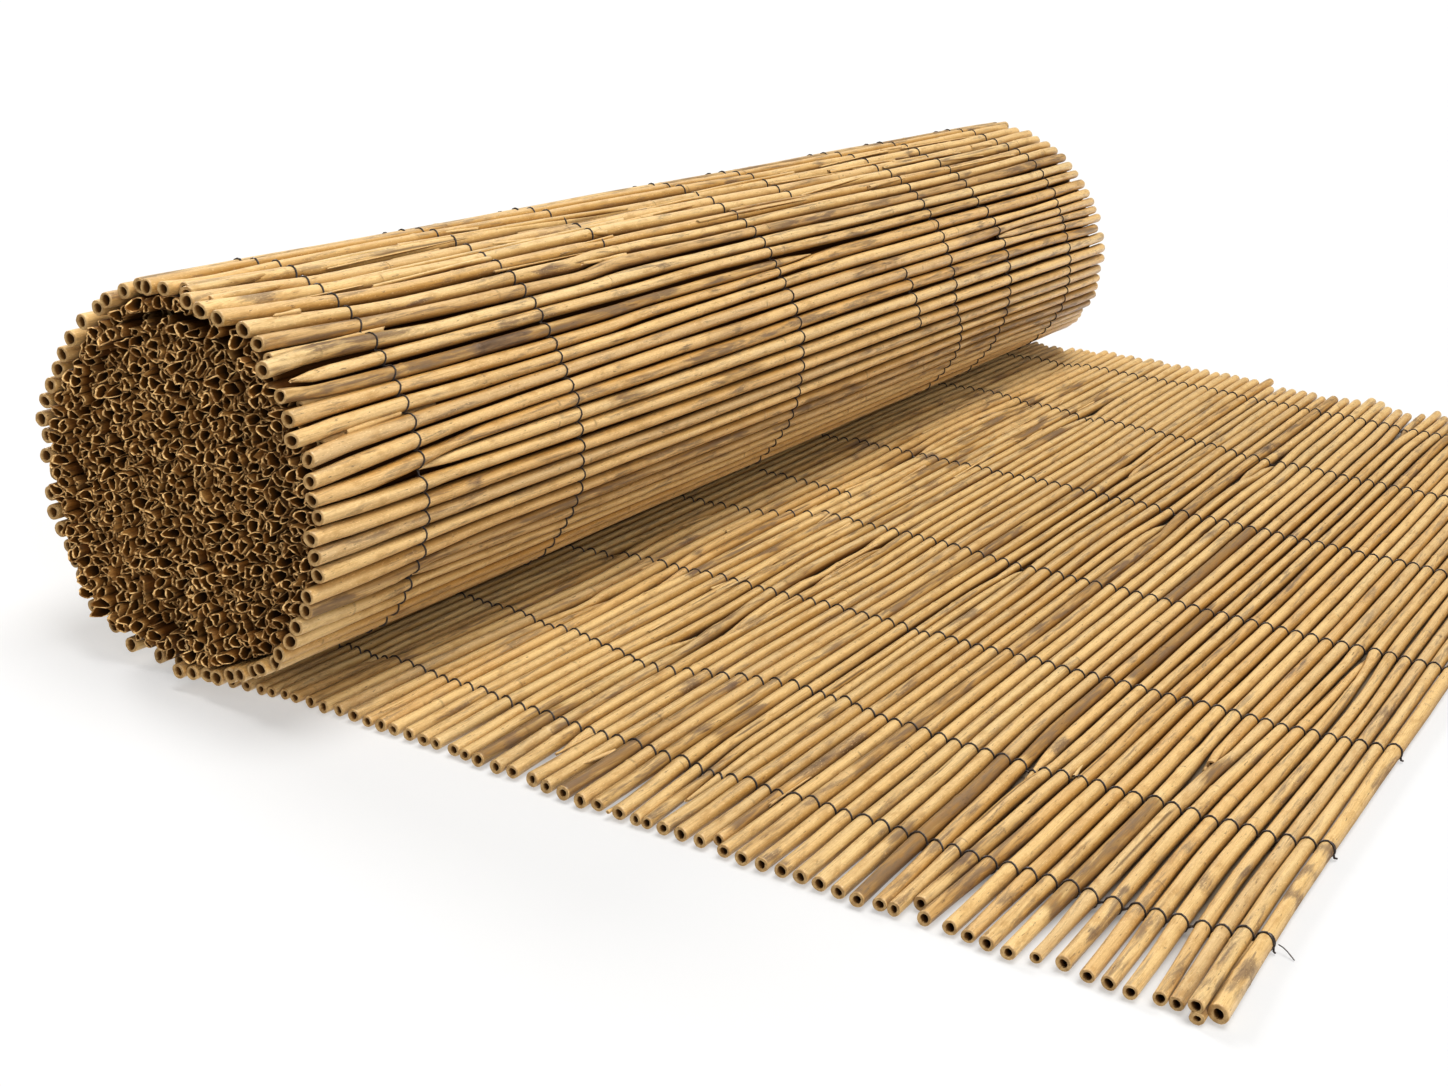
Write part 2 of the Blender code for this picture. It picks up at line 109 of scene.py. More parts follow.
# Canes of the loose end: near end, far end, radius, then how far in front of the
# roll's axis the cane lies at each of LOOSE_STATIONS, all in millimetres. A cane
# that starts or stops inside the mat is a broken or pointed one.
LOOSE_STATIONS = [14.0, 120.0, 235.0, 355.0, 510.0, 680.0, 855.0, 985.0]
LOOSE_CANES = [
    (15.0, 1004.0, 3.10, 3.5, 3.0, 2.6, 2.0, 1.0, 0.0, 0.0, 1.0),
    (15.5, 1001.0, 3.10, 12.0, 11.2, 10.6, 9.6, 8.6, 6.8, 6.6, 8.4),
    (16.0, 1003.0, 3.00, 20.4, 19.0, 18.4, 17.4, 16.6, 14.0, 14.0, 16.4),
    (16.7, 999.0, 3.20, 28.7, 27.0, 26.2, 25.0, 24.2, 21.6, 21.6, 24.6),
    (17.8, 1002.0, 3.10, 36.9, 34.6, 34.3, 32.9, 32.1, 28.9, 29.3, 33.3),
    (19.0, 1000.0, 2.80, 42.5, 39.8, 39.8, 39.2, 37.2, 34.2, 34.8, 38.5),
    (21.0, 996.0, 2.80, 48.8, 47.3, 46.9, 47.3, 44.3, 40.8, 42.6, 44.7),
    (58.0, 1000.0, 2.70, None, 52.9, 52.7, 54.1, 50.6, 47.1, 50.3, 50.5),
    (21.0, 298.0, 2.80, 54.6, 58.7, 60.1, 58.5, None, None, None, None),
    (21.5, 993.0, 3.20, 64.0, 66.8, 68.2, 63.4, 60.0, 56.2, 60.4, 59.0),
    (20.6, 1003.0, 3.20, 72.7, 74.4, 75.4, 70.6, 67.4, 64.4, 68.4, 66.6),
    (22.3, 1006.0, 3.10, 80.5, 82.6, 83.1, 77.5, 74.4, 72.2, 75.3, 72.9),
    (22.0, 1006.0, 3.20, 89.8, 90.9, 91.2, 85.6, 82.8, 80.2, 83.8, 80.0),
    (896.0, 1003.0, 2.80, None, None, None, None, None, None, 86.7, 85.3),
    (21.5, 226.0, 2.80, 98.5, 96.7, 94.7, None, None, None, None, None),
    (21.2, 1010.0, 3.30, 106.6, 105.1, 101.5, 94.7, 91.3, 89.1, 92.9, 93.4),
    (262.0, 1010.0, 3.30, None, None, 106.7, 103.7, 101.7, 97.3, 100.3, 100.9),
    (596.0, 1009.0, 3.00, None, None, None, None, 107.7, 103.5, 107.1, 107.9),
    (21.6, 800.0, 3.20, 113.6, 113.2, 111.0, 112.6, 115.0, 111.8, 111.8, None),
    (21.6, 1010.0, 3.30, 122.7, 120.5, 120.9, 121.9, 123.1, 120.1, 118.5, 117.9),
    (21.2, 1007.0, 3.20, 131.4, 128.3, 130.1, 129.3, 131.1, 128.1, 127.1, 125.8),
    (21.7, 1014.0, 3.10, 138.0, 136.5, 138.6, 136.2, 138.6, 136.2, 135.4, 134.0),
    (21.3, 1013.0, 3.20, 148.7, 145.2, 148.1, 143.7, 145.1, 144.3, 144.1, 142.5),
    (21.0, 1009.0, 2.90, 155.0, 152.2, 155.4, 150.6, 151.4, 151.2, 152.2, 149.8),
    (19.5, 212.0, 3.40, 163.3, 162.1, 161.5, None, None, None, None, None),
    (18.7, 806.0, 3.30, 174.0, 169.6, 165.5, 160.2, 160.8, 160.6, 160.2, None),
    (222.0, 1010.0, 3.10, None, None, 171.6, 168.0, 168.0, 168.0, 162.6, 159.6),
    (318.0, 412.0, 2.30, None, None, None, 172.0, 171.4, None, None, None),
    (19.6, 1010.0, 3.20, 182.3, 177.8, 178.5, 180.3, 175.9, 174.5, 171.1, 169.1),
    (52.0, 1006.0, 3.20, None, 186.5, 187.1, 186.9, 182.5, 182.1, 179.3, 177.5),
    (18.4, 1007.0, 3.40, 193.7, 194.8, 195.1, 195.6, 191.0, 191.2, 188.0, 185.9),
    (16.6, 1008.0, 3.20, 202.4, 202.3, 203.1, 204.1, 199.9, 199.8, 196.3, 194.1),
    (15.9, 1009.0, 3.50, 211.8, 211.9, 211.9, 212.1, 210.3, 209.9, 206.1, 204.3),
    (14.4, 1008.0, 3.40, 221.8, 219.8, 219.0, 219.4, 219.6, 218.0, 214.0, 212.8),
    (16.2, 1007.0, 3.20, 229.6, 227.3, 226.5, 226.7, 227.5, 225.1, 221.3, 220.5),
    (15.2, 1006.0, 3.30, 241.3, 235.9, 234.7, 235.1, 236.3, 232.9, 228.9, 227.7),
    (662.0, 1022.0, 3.10, None, None, None, None, None, 239.0, 236.4, 235.2),
    (15.1, 992.0, 3.00, 249.8, 244.0, 243.4, 242.8, 244.3, 243.6, 245.4, 245.0),
    (15.5, 1000.0, 2.80, 255.0, 250.3, 250.9, 250.1, 251.8, 252.5, 253.8, 253.8),
    (46.0, 428.0, 2.50, None, 256.0, 256.2, 255.8, 255.5, None, None, None),
    (15.2, 997.0, 3.20, 263.3, 264.3, 264.1, 263.9, 261.2, 261.3, 262.1, 263.1),
    (15.0, 998.0, 3.30, 272.1, 273.0, 272.5, 272.0, 270.3, 270.3, 270.3, 271.1),
    (15.1, 998.0, 3.20, 281.4, 279.9, 280.3, 280.9, 278.7, 279.3, 279.3, 279.3),
    (21.3, 993.0, 2.90, 286.8, 286.3, 287.1, 287.6, 286.6, 287.6, 287.1, 287.0),
    (13.9, 574.0, 3.10, 293.5, 294.5, 295.1, 294.9, 294.7, 295.3, None, None),
    (12.5, 997.0, 3.40, 302.9, 303.7, 303.5, 302.9, 302.3, 298.3, 296.9, 296.7),
    (704.0, 1001.0, 3.00, None, None, None, None, None, 304.4, 304.4, 304.1),
    (12.9, 766.0, 3.30, 312.0, 311.9, 311.0, 310.7, 309.3, 309.9, 313.5, None),
    (13.5, 1001.0, 3.30, 321.0, 320.3, 319.0, 319.0, 317.9, 318.3, 315.1, 313.3),
    (13.4, 1015.0, 3.40, 329.8, 328.7, 327.2, 327.5, 326.9, 326.9, 323.6, 322.7),
    (13.2, 1010.0, 3.30, 338.5, 337.0, 335.0, 335.5, 335.8, 336.1, 334.7, 332.7),
    (12.3, 997.0, 3.30, 347.6, 346.0, 342.9, 344.1, 345.3, 345.0, 344.5, 342.7),
    (10.7, 994.0, 3.40, 356.7, 353.9, 351.3, 352.3, 354.6, 354.2, 353.6, 352.3),
    (13.4, 988.0, 3.20, 365.5, 362.5, 359.4, 359.8, 362.5, 362.8, 362.3, 361.1),
    (922.0, 1001.0, 2.50, None, None, None, None, None, None, 367.0, 367.4),
    (160.0, 1014.0, 3.20, None, 368.9, 367.3, 368.1, 371.2, 371.5, 372.1, 374.9),
    (13.5, 1000.0, 3.10, 371.6, 371.5, 375.2, 376.3, 379.3, 380.3, 381.1, 383.6),
    (24.0, 1004.0, 3.20, 378.0, 380.5, 382.7, 385.1, 387.8, 389.3, 390.1, 392.2),
    (14.1, 1001.0, 3.20, 384.4, 389.3, 391.1, 393.4, 396.3, 398.2, 398.7, 400.8),
    (13.9, 1006.0, 3.30, 395.5, 397.7, 399.5, 402.3, 405.0, 407.1, 407.5, 409.6),
    (12.5, 998.0, 3.20, 403.9, 406.2, 407.9, 410.8, 413.2, 415.4, 415.9, 418.0),
    (11.4, 1003.0, 3.20, 412.0, 414.4, 416.4, 419.2, 421.7, 423.6, 424.4, 426.6),
    (10.4, 1007.0, 3.30, 421.3, 423.1, 425.1, 427.8, 430.4, 432.3, 433.2, 435.5),
    (222.0, 999.0, 3.20, None, None, 431.8, 435.9, 438.4, 440.2, 441.4, 443.6),
    (14.2, 1005.0, 3.30, 431.2, 433.0, 438.8, 444.3, 446.8, 448.6, 450.0, 452.2),
    (15.4, 1001.0, 3.20, 441.8, 443.0, 446.8, 451.9, 454.8, 456.9, 458.3, 460.5),
    (12.8, 418.0, 3.00, 452.4, 452.1, 454.5, 458.5, 461.2, None, None, None),
    (12.8, 1008.0, 3.20, 460.8, 460.7, 462.3, 464.1, 463.4, 465.5, 466.9, 469.1),
    (11.8, 996.0, 3.20, 469.5, 469.0, 471.1, 472.5, 471.8, 473.9, 475.3, 477.5),
    (14.4, 1002.0, 3.00, 480.2, 478.2, 478.4, 479.4, 479.6, 481.6, 483.0, 485.2),
    (14.5, 1006.0, 3.00, 486.3, 485.2, 485.7, 486.4, 486.6, 488.6, 490.1, 492.3),
    (11.0, 1000.0, 3.10, 493.6, 492.6, 492.8, 493.4, 494.0, 496.0, 497.2, 499.4),
    (15.6, 1003.0, 3.75, 501.6, 500.0, 500.6, 501.6, 502.4, 504.2, 505.2, 507.2),
]

# Near ends that are thinner or thicker than the rest of their cane, by their place.
TIP_RADII = {431.2: 2.6, 501.6: 4.0, 441.8: 3.3, 412.0: 3.3, 421.3: 3.2, 403.9: 3.0}

# Rows of binding wire: along the canes as a function of the place across them.
LOOSE_ROWS = [
    ((-5, 84), (60, 82), (120, 78), (180, 73.5), (440, 70), (476, 73.5), (510, 83)),
    ((-5, 176), (60, 174), (110, 168), (150, 160), (165, 153), (235, 181), (262, 182), (275, 176), (330, 168),
     (470, 168), (485, 172), (510, 178)),
    ((-5, 276), (35, 278), (70, 286), (110, 290), (440, 290), (480, 295), (510, 302)),
    ((-5, 405), (65, 404), (90, 408), (120, 433), (180, 433), (230, 428), (300, 425), (440, 424), (510, 428)),
    ((40, 489), (55, 487), (118, 479)),
    ((-5, 597), (260, 597), (400, 594), (510, 592)),
    ((-5, 800), (80, 799), (140, 788), (170, 783), (250, 778), (290, 766), (330, 763), (510, 760)),
    ((-5, 938), (50, 937), (100, 944), (200, 944), (280, 939), (510, 933)),
]
# Rows on the roll, along the canes as a function of the angle.
ROLL_ROWS = [
    ((0, 66), (175, 70), (186, 71), (200, 66), (360, 66)),
    ((0, 192), (200, 190), (245, 190), (268, 195), (285, 197), (360, 197)),
    ((0, 300), (190, 288), (209, 286)),
    ((0, 431), (190, 430), (260, 433), (360, 434)),
    ((0, 540), (180, 515), (201, 514)),
    ((247, 588), (272, 606)),
    ((0, 660), (245, 662), (268, 664), (280, 680), (293, 690), (360, 690)),
    ((0, 750), (185, 752), (195, 745), (225, 746), (240, 758), (260, 764), (360, 765)),
    ((0, 880), (187, 880), (205, 885), (260, 886), (275, 890), (293, 893), (360, 893)),
]

# Marks on the loose end: from, to, place across (millimetres), strength.
# Brown lengths between two growth rings, stains, and dark slits.
LOOSE_BROWN = [
    (430, 590, 347, 1.25), (0, 170, 357, 1.05), (175, 290, 362, 1.0), (295, 430, 369, 1.15), (47, 170, 422, 0.98),
    (195, 232, 431, 0.9), (660, 740, 160, 0.80), (560, 640, 262, 0.55), (250, 330, 330, 0.45), (60, 140, 455, 0.40),
    (150, 300, 397, 0.42), (640, 760, 411, 0.45), (480, 560, 200, 0.40), (560, 650, 122, 0.45), (820, 900, 230, 0.50),
    (20, 110, 304, 0.38), (330, 420, 453, 0.42), (760, 860, 338, 0.45), (95, 185, 477, 0.35), (250, 420, 248, 0.40),
    (380, 470, 85, 0.45), (700, 800, 277, 0.35), (130, 230, 212, 0.35), (20, 200, 492, 0.32),
    (0, 88, 166, 0.98), (0, 78, 216, 1.0), (0, 66, 226, 0.62), (95, 150, 232, 0.80), (28, 84, 287, 0.72),
    (90, 170, 207, 0.60), (0, 40, 305, 0.55), (52, 84, 347, 0.80), (45, 75, 382, 0.80), (170, 260, 280, 0.55),
    (60, 130, 150, 0.55), (0, 60, 122, 0.50), (240, 330, 300, 0.62), (90, 200, 326, 0.50), (0, 90, 403, 0.45),
]
LOOSE_STAINS = [
    (305, 345, 261, 1.0), (78, 155, 287, 0.85), (30, 50, 442, 0.75), (134, 153, 192, 0.85), (138, 152, 196, 0.75),
    (780, 802, 299, 1.0), (782, 800, 310, 1.0), (785, 800, 304, 0.9), (113, 131, 500, 0.95), (139, 156, 500, 0.9),
    (165, 182, 501, 0.9), (18, 66, 501, 0.72), (18, 90, 494, 0.62), (55, 75, 396, 0.5), (240, 300, 497, 0.7), (300, 360, 489, 0.75),
    (60, 76, 339, 0.7), (520, 560, 141, 0.8), (525, 565, 148, 0.6), (450, 500, 303, 0.7), (600, 640, 372, 0.6),
    (200, 260, 466, 0.6), (210, 250, 407, 0.6), (345, 400, 437, 0.55), (700, 740, 213, 0.6), (610, 650, 328, 0.6),
    (425, 460, 228, 0.6), (340, 380, 317, 0.55), (500, 530, 184, 0.6), (745, 770, 122, 0.7), (655, 700, 94, 0.5),
    (860, 900, 140, 0.6), (830, 850, 395, 0.6), (900, 930, 262, 0.5), (100, 125, 469, 0.5), (160, 200, 440, 0.5),
    (34, 50, 166, 0.85), (139, 148, 197, 0.90), (104, 122, 231, 0.85), (38, 50, 276, 0.75), (10, 26, 316, 0.75),
    (8, 22, 323, 0.70), (50, 62, 306, 0.60), (94, 106, 352, 0.65), (58, 72, 382, 0.95), (30, 46, 340, 0.45),
    (100, 112, 205, 0.60), (8, 24, 226, 0.55), (66, 80, 130, 0.55), (150, 170, 262, 0.65), (186, 205, 300, 0.60),
]
LOOSE_SLITS = [
    (345, 400, 173), (90, 160, 434), (185, 230, 253), (325, 372, 456), (310, 330, 441), (340, 370, 463),
    (120, 145, 336), (100, 160, 371), (165, 200, 389), (100, 116, 230), (105, 140, 244), (150, 215, 118),
    (240, 290, 139), (560, 590, 321), (720, 780, 300), (430, 470, 306), (655, 690, 160), (400, 440, 104),
]
# Marks on the roll: from, to (millimetres), angle, strength.
ROLL_BROWN = [
    (380, 520, 236, 0.45), (540, 700, 250, 0.40), (120, 190, 254, 0.45), (300, 420, 270, 0.42), (30, 185, 241, 0.40),
    (600, 760, 281, 0.50), (60, 190, 270, 0.55), (20, 60, 207, 0.45), (450, 560, 210, 0.40), (760, 880, 226, 0.45),
    (690, 760, 196, 0.5), (250, 420, 285, 0.45), (430, 600, 295, 0.40), (810, 880, 259, 0.5),
]
ROLL_STAINS = [
    (128, 178, 230, 1.0), (150, 172, 226, 0.7), (10, 45, 195, 0.7), (22, 60, 221, 0.6), (5, 30, 241.5, 0.6),
    (700, 716, 196, 0.9), (300, 330, 222, 0.7), (330, 350, 240, 0.6), (480, 510, 217, 0.7), (560, 590, 244, 0.6),
    (640, 660, 228, 0.7), (760, 790, 206, 0.7), (840, 862, 216, 0.8), (200, 232, 213, 0.6), (400, 420, 257, 0.6),
    (230, 262, 249, 0.55), (505, 525, 266, 0.6), (610, 632, 206, 0.7), (720, 744, 238, 0.6), (905, 925, 232, 0.7),
    (880, 900, 247, 0.7), (80, 110, 248, 0.6), (45, 70, 285, 0.6), (355, 376, 200, 0.6), (95, 120, 212, 0.5),
]
ROLL_SLITS = [
    (683, 708, 203), (40, 52, 256), (30, 38, 254), (600, 615, 188), (246, 262, 209), (248, 270, 216), (262, 275, 230),
    (232, 250, 239), (290, 350, 190), (120, 200, 185), (420, 470, 231), (810, 835, 196), (560, 600, 197),
]

SIDES = 16
NODES = 4
GRID = np.linspace(-0.010, 1.030, 209)


# ------------------------------------------------------------------ helpers
def smooth_curve(xs, ys, x):
    """Smooth curve through (xs, ys) without overshoot, for an array x."""
    xs, ys, x = np.asarray(xs, float), np.asarray(ys, float), np.asarray(x, float)
    if len(xs) < 3:
        return np.interp(x, xs, ys)
    slope = np.diff(ys) / np.diff(xs)
    tangent = np.zeros(len(xs))
    tangent[0], tangent[-1] = slope[0], slope[-1]
    both = slope[:-1] * slope[1:] > 0.0
    inner = np.zeros(len(xs) - 2)
    inner[both] = 2.0 * slope[:-1][both] * slope[1:][both] / (slope[:-1] + slope[1:])[both]
    tangent[1:-1] = inner
    i = np.clip(np.searchsorted(xs, x) - 1, 0, len(xs) - 2)
    h = xs[i + 1] - xs[i]
    t = np.clip((x - xs[i]) / h, 0.0, 1.0)
    return ((2 * t ** 3 - 3 * t ** 2 + 1) * ys[i] + (t ** 3 - 2 * t ** 2 + t) * h * tangent[i]
            + (3 * t ** 2 - 2 * t ** 3) * ys[i + 1] + (t ** 3 - t ** 2) * h * tangent[i + 1])


def step(x, low, high):
    t = np.clip((x - low) / (high - low), 0.0, 1.0)
    return t * t * (3.0 - 2.0 * t)


def wrap_at(angle):
    """Centre (y, z), outward direction, near end and far end at angles of the wrap."""
    angle = np.asarray(angle, float)

    def centre(a):
        r = smooth_curve(WRAP[:, 0], WRAP[:, 1], a)
        return np.stack([r * np.sin(np.radians(a)), ROLL_AXIS_Z - r * np.cos(np.radians(a))], -1)

    move = centre(np.minimum(angle + 0.6, 360.0)) - centre(np.maximum(angle - 0.6, 0.0))
    move /= np.linalg.norm(move, axis=-1, keepdims=True)
    outward = np.stack([move[..., 1], -move[..., 0]], -1)
    return (centre(angle), outward, smooth_curve(WRAP[:, 0], WRAP[:, 2], angle),
            smooth_curve(WRAP[:, 0], WRAP[:, 3], angle))


def mesh_object(name, verts, quads, caps, values, material):
    """One joined mesh from arrays. caps is an array of polygons of one size."""
    mesh = bpy.data.meshes.new(name)
    verts = np.asarray(verts, np.float32) + SHIFT.astype(np.float32)
    mesh.vertices.add(len(verts))
    mesh.vertices.foreach_set("co", verts.ravel())
    loops = np.asarray(quads, np.int32).ravel()
    starts = np.arange(len(quads), dtype=np.int32) * 4
    if caps is not None and len(caps):
        caps = np.asarray(caps, np.int32)
        starts = np.concatenate([starts, len(loops) + np.arange(len(caps), dtype=np.int32) * caps.shape[1]])
        loops = np.concatenate([loops, caps.ravel()])
    mesh.loops.add(len(loops))
    mesh.loops.foreach_set("vertex_index", loops)
    mesh.polygons.add(len(starts))
    mesh.polygons.foreach_set("loop_start", starts.astype(np.int32))
    mesh.update(calc_edges=True)
    mesh.validate()
    for key, value in values.items():
        attribute = mesh.attributes.new(key, "FLOAT", "POINT")
        attribute.data.foreach_set("value", np.asarray(value, np.float32).ravel())
    mesh.shade_smooth()
    mesh.set_sharp_from_angle(angle=math.radians(52.0))
    mesh.materials.append(material)
    obj = bpy.data.objects.new(name, mesh)
    bpy.context.scene.collection.objects.link(obj)
    return obj


def ring_faces(count, rings, sides):
    """Quads along each of count tubes of rings x sides points, and their two end caps."""
    tube = np.arange(count)[:, None, None] * rings * sides
    ring = np.arange(rings - 1)[None, :, None] * sides
    j = np.arange(sides)[None, None, :]
    k = (j + 1) % sides
    quads = np.stack([tube + ring + j, tube + ring + k, tube + ring + sides + k,
                      tube + ring + sides + j], -1).reshape(-1, 4)
    base = np.arange(count)[:, None] * rings * sides
    first = base + np.arange(sides)[None, ::-1]
    last = base + (rings - 1) * sides + np.arange(sides)[None, :]
    return quads, np.concatenate([first, last])


def wave(rng, x, reach, length):
    """A slow random wave of a given reach for each row of x, from three sines."""
    n = x.shape[0]
    out = np.zeros_like(x)
    for share, stretch in ((0.6, 1.0), (0.3, 0.47), (0.15, 0.21)):
        phase = rng.uniform(0.0, 2.0 * math.pi, (n, 1))
        scale = rng.uniform(0.8, 1.25, (n, 1))
        out += share * np.sin(2.0 * math.pi * x / (length * stretch * scale) + phase)
    return reach * out


# ---------------------------------------------------------------- materials
def new_material(name):
    material = bpy.data.materials.new(name)
    material.use_nodes = True
    nodes, links = material.node_tree.nodes, material.node_tree.links
    return material, nodes, links, nodes["Principled BSDF"]


class Graph:
    """Short ways to add shader nodes."""

    def __init__(self, nodes, links):
        self.nodes, self.links = nodes, links

    def feed(self, socket, value):
        if isinstance(value, bpy.types.NodeSocket):
            self.links.new(value, socket)
        else:
            socket.default_value = value

    def math(self, operation, a, b=0.0, c=0.0, clamp=False):
        node = self.nodes.new("ShaderNodeMath")
        node.operation, node.use_clamp = operation, clamp
        for socket, value in zip(node.inputs, (a, b, c)):
            self.feed(socket, value)
        return node.outputs[0]

    def ramp(self, value, low, high, out_low=0.0, out_high=1.0):
        node = self.nodes.new("ShaderNodeMapRange")
        node.interpolation_type = "SMOOTHSTEP"
        for socket, v in zip(node.inputs, (value, low, high, out_low, out_high)):
            self.feed(socket, v)
        return node.outputs[0]

    def mix(self, factor, a, b, blend="MIX"):
        node = self.nodes.new("ShaderNodeMix")
        node.data_type, node.blend_type = "RGBA", blend
        self.feed(node.inputs[0], factor)
        self.feed(node.inputs[6], a)
        self.feed(node.inputs[7], b)
        return node.outputs[2]

    def attribute(self, name):
        node = self.nodes.new("ShaderNodeAttribute")
        node.attribute_name = name
        return node.outputs["Fac"]

    def place(self, scale, offset=None):
        """Object coordinates, stretched, and moved by a number that differs from cane to cane."""
        coord = self.nodes.new("ShaderNodeTexCoord")
        mapping = self.nodes.new("ShaderNodeMapping")
        mapping.inputs["Scale"].default_value = scale
        self.links.new(coord.outputs["Object"], mapping.inputs["Vector"])
        if offset is None:
            return mapping.outputs[0]
        add = self.nodes.new("ShaderNodeVectorMath")
        add.operation = "ADD"
        self.links.new(mapping.outputs[0], add.inputs[0])
        self.links.new(offset, add.inputs[1])
        return add.outputs[0]

    def noise(self, vector, scale=1.0, detail=3.0, rough=0.55, distortion=0.0):
        node = self.nodes.new("ShaderNodeTexNoise")
        node.inputs["Scale"].default_value = scale
        node.inputs["Detail"].default_value = detail
        node.inputs["Roughness"].default_value = rough
        node.inputs["Distortion"].default_value = distortion
        self.links.new(vector, node.inputs["Vector"])
        return node.outputs["Fac"]


def shade_of(colour, r, g, b):
    return (min(colour[0] * r, 1.0), min(colour[1] * g, 1.0), min(colour[2] * b, 1.0), 1.0)


def cane_material(name, light, deep, grey, bore, rim_light, rim_dark):
    """Straw-gold cane: fibres along X, stains, growth rings, pale sawn rim, brown bore."""
    material, nodes, links, shader = new_material(name)
    g = Graph(nodes, links)
    tint, stain, kind = g.attribute("tint"), g.attribute("stain"), g.attribute("kind")
    slit, ring, painted_shade = g.attribute("slit"), g.attribute("ring"), g.attribute("painted_shade")
    shift = g.math("MULTIPLY", g.attribute("phase"), 37.0)

    fibre = g.noise(g.place((34.0, 2300.0, 2300.0), shift), detail=3.0, rough=0.6)
    strand = g.noise(g.place((11.0, 520.0, 520.0), shift), detail=3.0)
    smear = g.noise(g.place((26.0, 260.0, 260.0), shift), detail=5.0, rough=0.65, distortion=0.4)
    cloud = g.noise(g.place((7.0, 70.0, 70.0), shift), detail=2.0)
    speck = g.noise(g.place((190.0, 1100.0, 1100.0), shift), detail=2.0, rough=0.5)
    fleck = g.noise(g.place((560.0, 1500.0, 1500.0), shift), detail=1.0, rough=0.5)
    band = g.noise(g.place((75.0, 190.0, 190.0), shift), detail=3.0, rough=0.6)

    colour = g.mix(g.ramp(strand, 0.32, 0.70), light, deep)
    colour = g.mix(g.math("MULTIPLY", g.ramp(cloud, 0.42, 0.68), 0.55), colour, shade_of(light, 1.09, 1.10, 1.12))
    # Each cane has its own hue: some paler and yellower, some redder, some greyer.
    lot = g.math("FRACT", g.math("MULTIPLY", g.attribute("phase"), 7.31))
    colour = g.mix(g.ramp(lot, 0.30, 0.02, 0.0, 0.60), colour, shade_of(light, 1.08, 1.17, 1.30))
    colour = g.mix(g.ramp(lot, 0.62, 0.80, 0.0, 0.55), colour, shade_of(deep, 1.04, 0.97, 0.88))
    other = g.math("FRACT", g.math("MULTIPLY", g.attribute("phase"), 23.7))
    colour = g.mix(g.ramp(other, 0.66, 0.95, 0.0, 0.50), colour, shade_of(light, 0.74, 0.74, 0.86))
    # Painted light: a painted highlight along the top of each cane, strongest on pale canes, and painted shade that
    # warms its flanks.
    colour = g.mix(g.ramp(painted_shade, 0.04, 0.42, 0.0, 0.46), colour, shade_of(deep, 0.96, 0.82, 0.46))
    colour = g.mix(g.math("MULTIPLY", g.ramp(painted_shade, 0.22, 0.0), g.ramp(tint, 0.9, 0.3, 0.12, 0.34)), colour, shade_of(light, 1.18, 1.28, 1.66))
    # Brown shades: tint runs from pale gold to brown along each cane.
    mottled = g.math("ADD", g.math("MULTIPLY", g.math("SUBTRACT", smear, 0.5), 1.5),
                     g.math("MULTIPLY", g.math("SUBTRACT", strand, 0.5), 0.9))
    brown = g.ramp(g.math("ADD", tint, mottled), 0.42, 1.05)
    colour = g.mix(g.math("MULTIPLY", brown, 0.85), colour, shade_of(deep, 0.58, 0.54, 0.56))
    streak = g.math("MULTIPLY", brown, g.ramp(smear, 0.47, 0.62))
    colour = g.mix(g.math("MULTIPLY", streak, 0.62), colour, shade_of(grey, 0.50, 0.40, 0.38))
    colour = g.mix(g.ramp(tint, 0.26, 0.0, 0.0, 0.55), colour, shade_of(light, 1.13, 1.13, 1.16))
    colour = g.mix(g.math("MULTIPLY", g.ramp(fibre, 0.50, 0.78), 0.50), colour, shade_of(deep, 0.58, 0.50, 0.42))
    colour = g.mix(g.math("MULTIPLY", g.ramp(fibre, 0.44, 0.24), 0.35), colour, shade_of(light, 1.16, 1.18, 1.25))
    colour = g.mix(g.math("MULTIPLY", g.ramp(band, 0.50, 0.70), 0.40), colour, shade_of(deep, 0.78, 0.68, 0.56))
    # Thin grey-brown smears, everywhere a few, on some canes many.
    thin = g.ramp(g.math("ADD", smear, g.math("MULTIPLY", tint, 0.10)), 0.555, 0.70)
    colour = g.mix(g.math("MULTIPLY", thin, 0.55), colour, grey)
    # Stains: stain is 0 on clean lengths and 1 in the middle of a dark blot.
    edge = g.math("ADD", g.math("MULTIPLY", stain, 0.62), g.math("MULTIPLY", g.math("SUBTRACT", smear, 0.5), 1.3))
    stained = g.ramp(edge, 0.30, 0.55)
    colour = g.mix(g.math("MULTIPLY", stained, 0.68), colour, shade_of(grey, 0.72, 0.66, 0.66))
    core_of_stain = g.ramp(edge, 0.52, 0.80)
    colour = g.mix(g.math("MULTIPLY", core_of_stain, 0.60), colour, shade_of(grey, 0.22, 0.17, 0.15))
    # Small dark marks in the skin, and pale flecks: partly the skin's own pale specks, partly painted glints.
    mark = g.ramp(speck, 0.66, 0.74)
    colour = g.mix(g.math("MULTIPLY", mark, 0.62), colour, shade_of(grey, 0.50, 0.40, 0.33))
    pale = g.math("MULTIPLY", g.ramp(fleck, 0.60, 0.74), g.ramp(tint, 0.75, 0.35))
    colour = g.mix(g.math("MULTIPLY", pale, 0.45), colour, shade_of(light, 1.25, 1.34, 1.6))
    grain = g.noise(g.place((420.0, 1900.0, 1900.0), shift), detail=2.0, rough=0.6)
    colour = g.mix(g.ramp(grain, 0.44, 0.68, 0.0, 0.16), colour, shade_of(deep, 0.66, 0.60, 0.56))
    # Painted shade between the canes: the skin turns deep brown where it faces into the gaps.
    painted_gap_shade = g.math("ADD", painted_shade, g.math("MULTIPLY", g.math("SUBTRACT", strand, 0.5), 0.30))
    painted_gap_shade = g.math("POWER", g.math("MULTIPLY", painted_gap_shade, 1.0, clamp=True), 1.35)
    colour = g.mix(g.math("MULTIPLY", painted_gap_shade, 0.94), colour, shade_of(deep, 0.34, 0.215, 0.075))
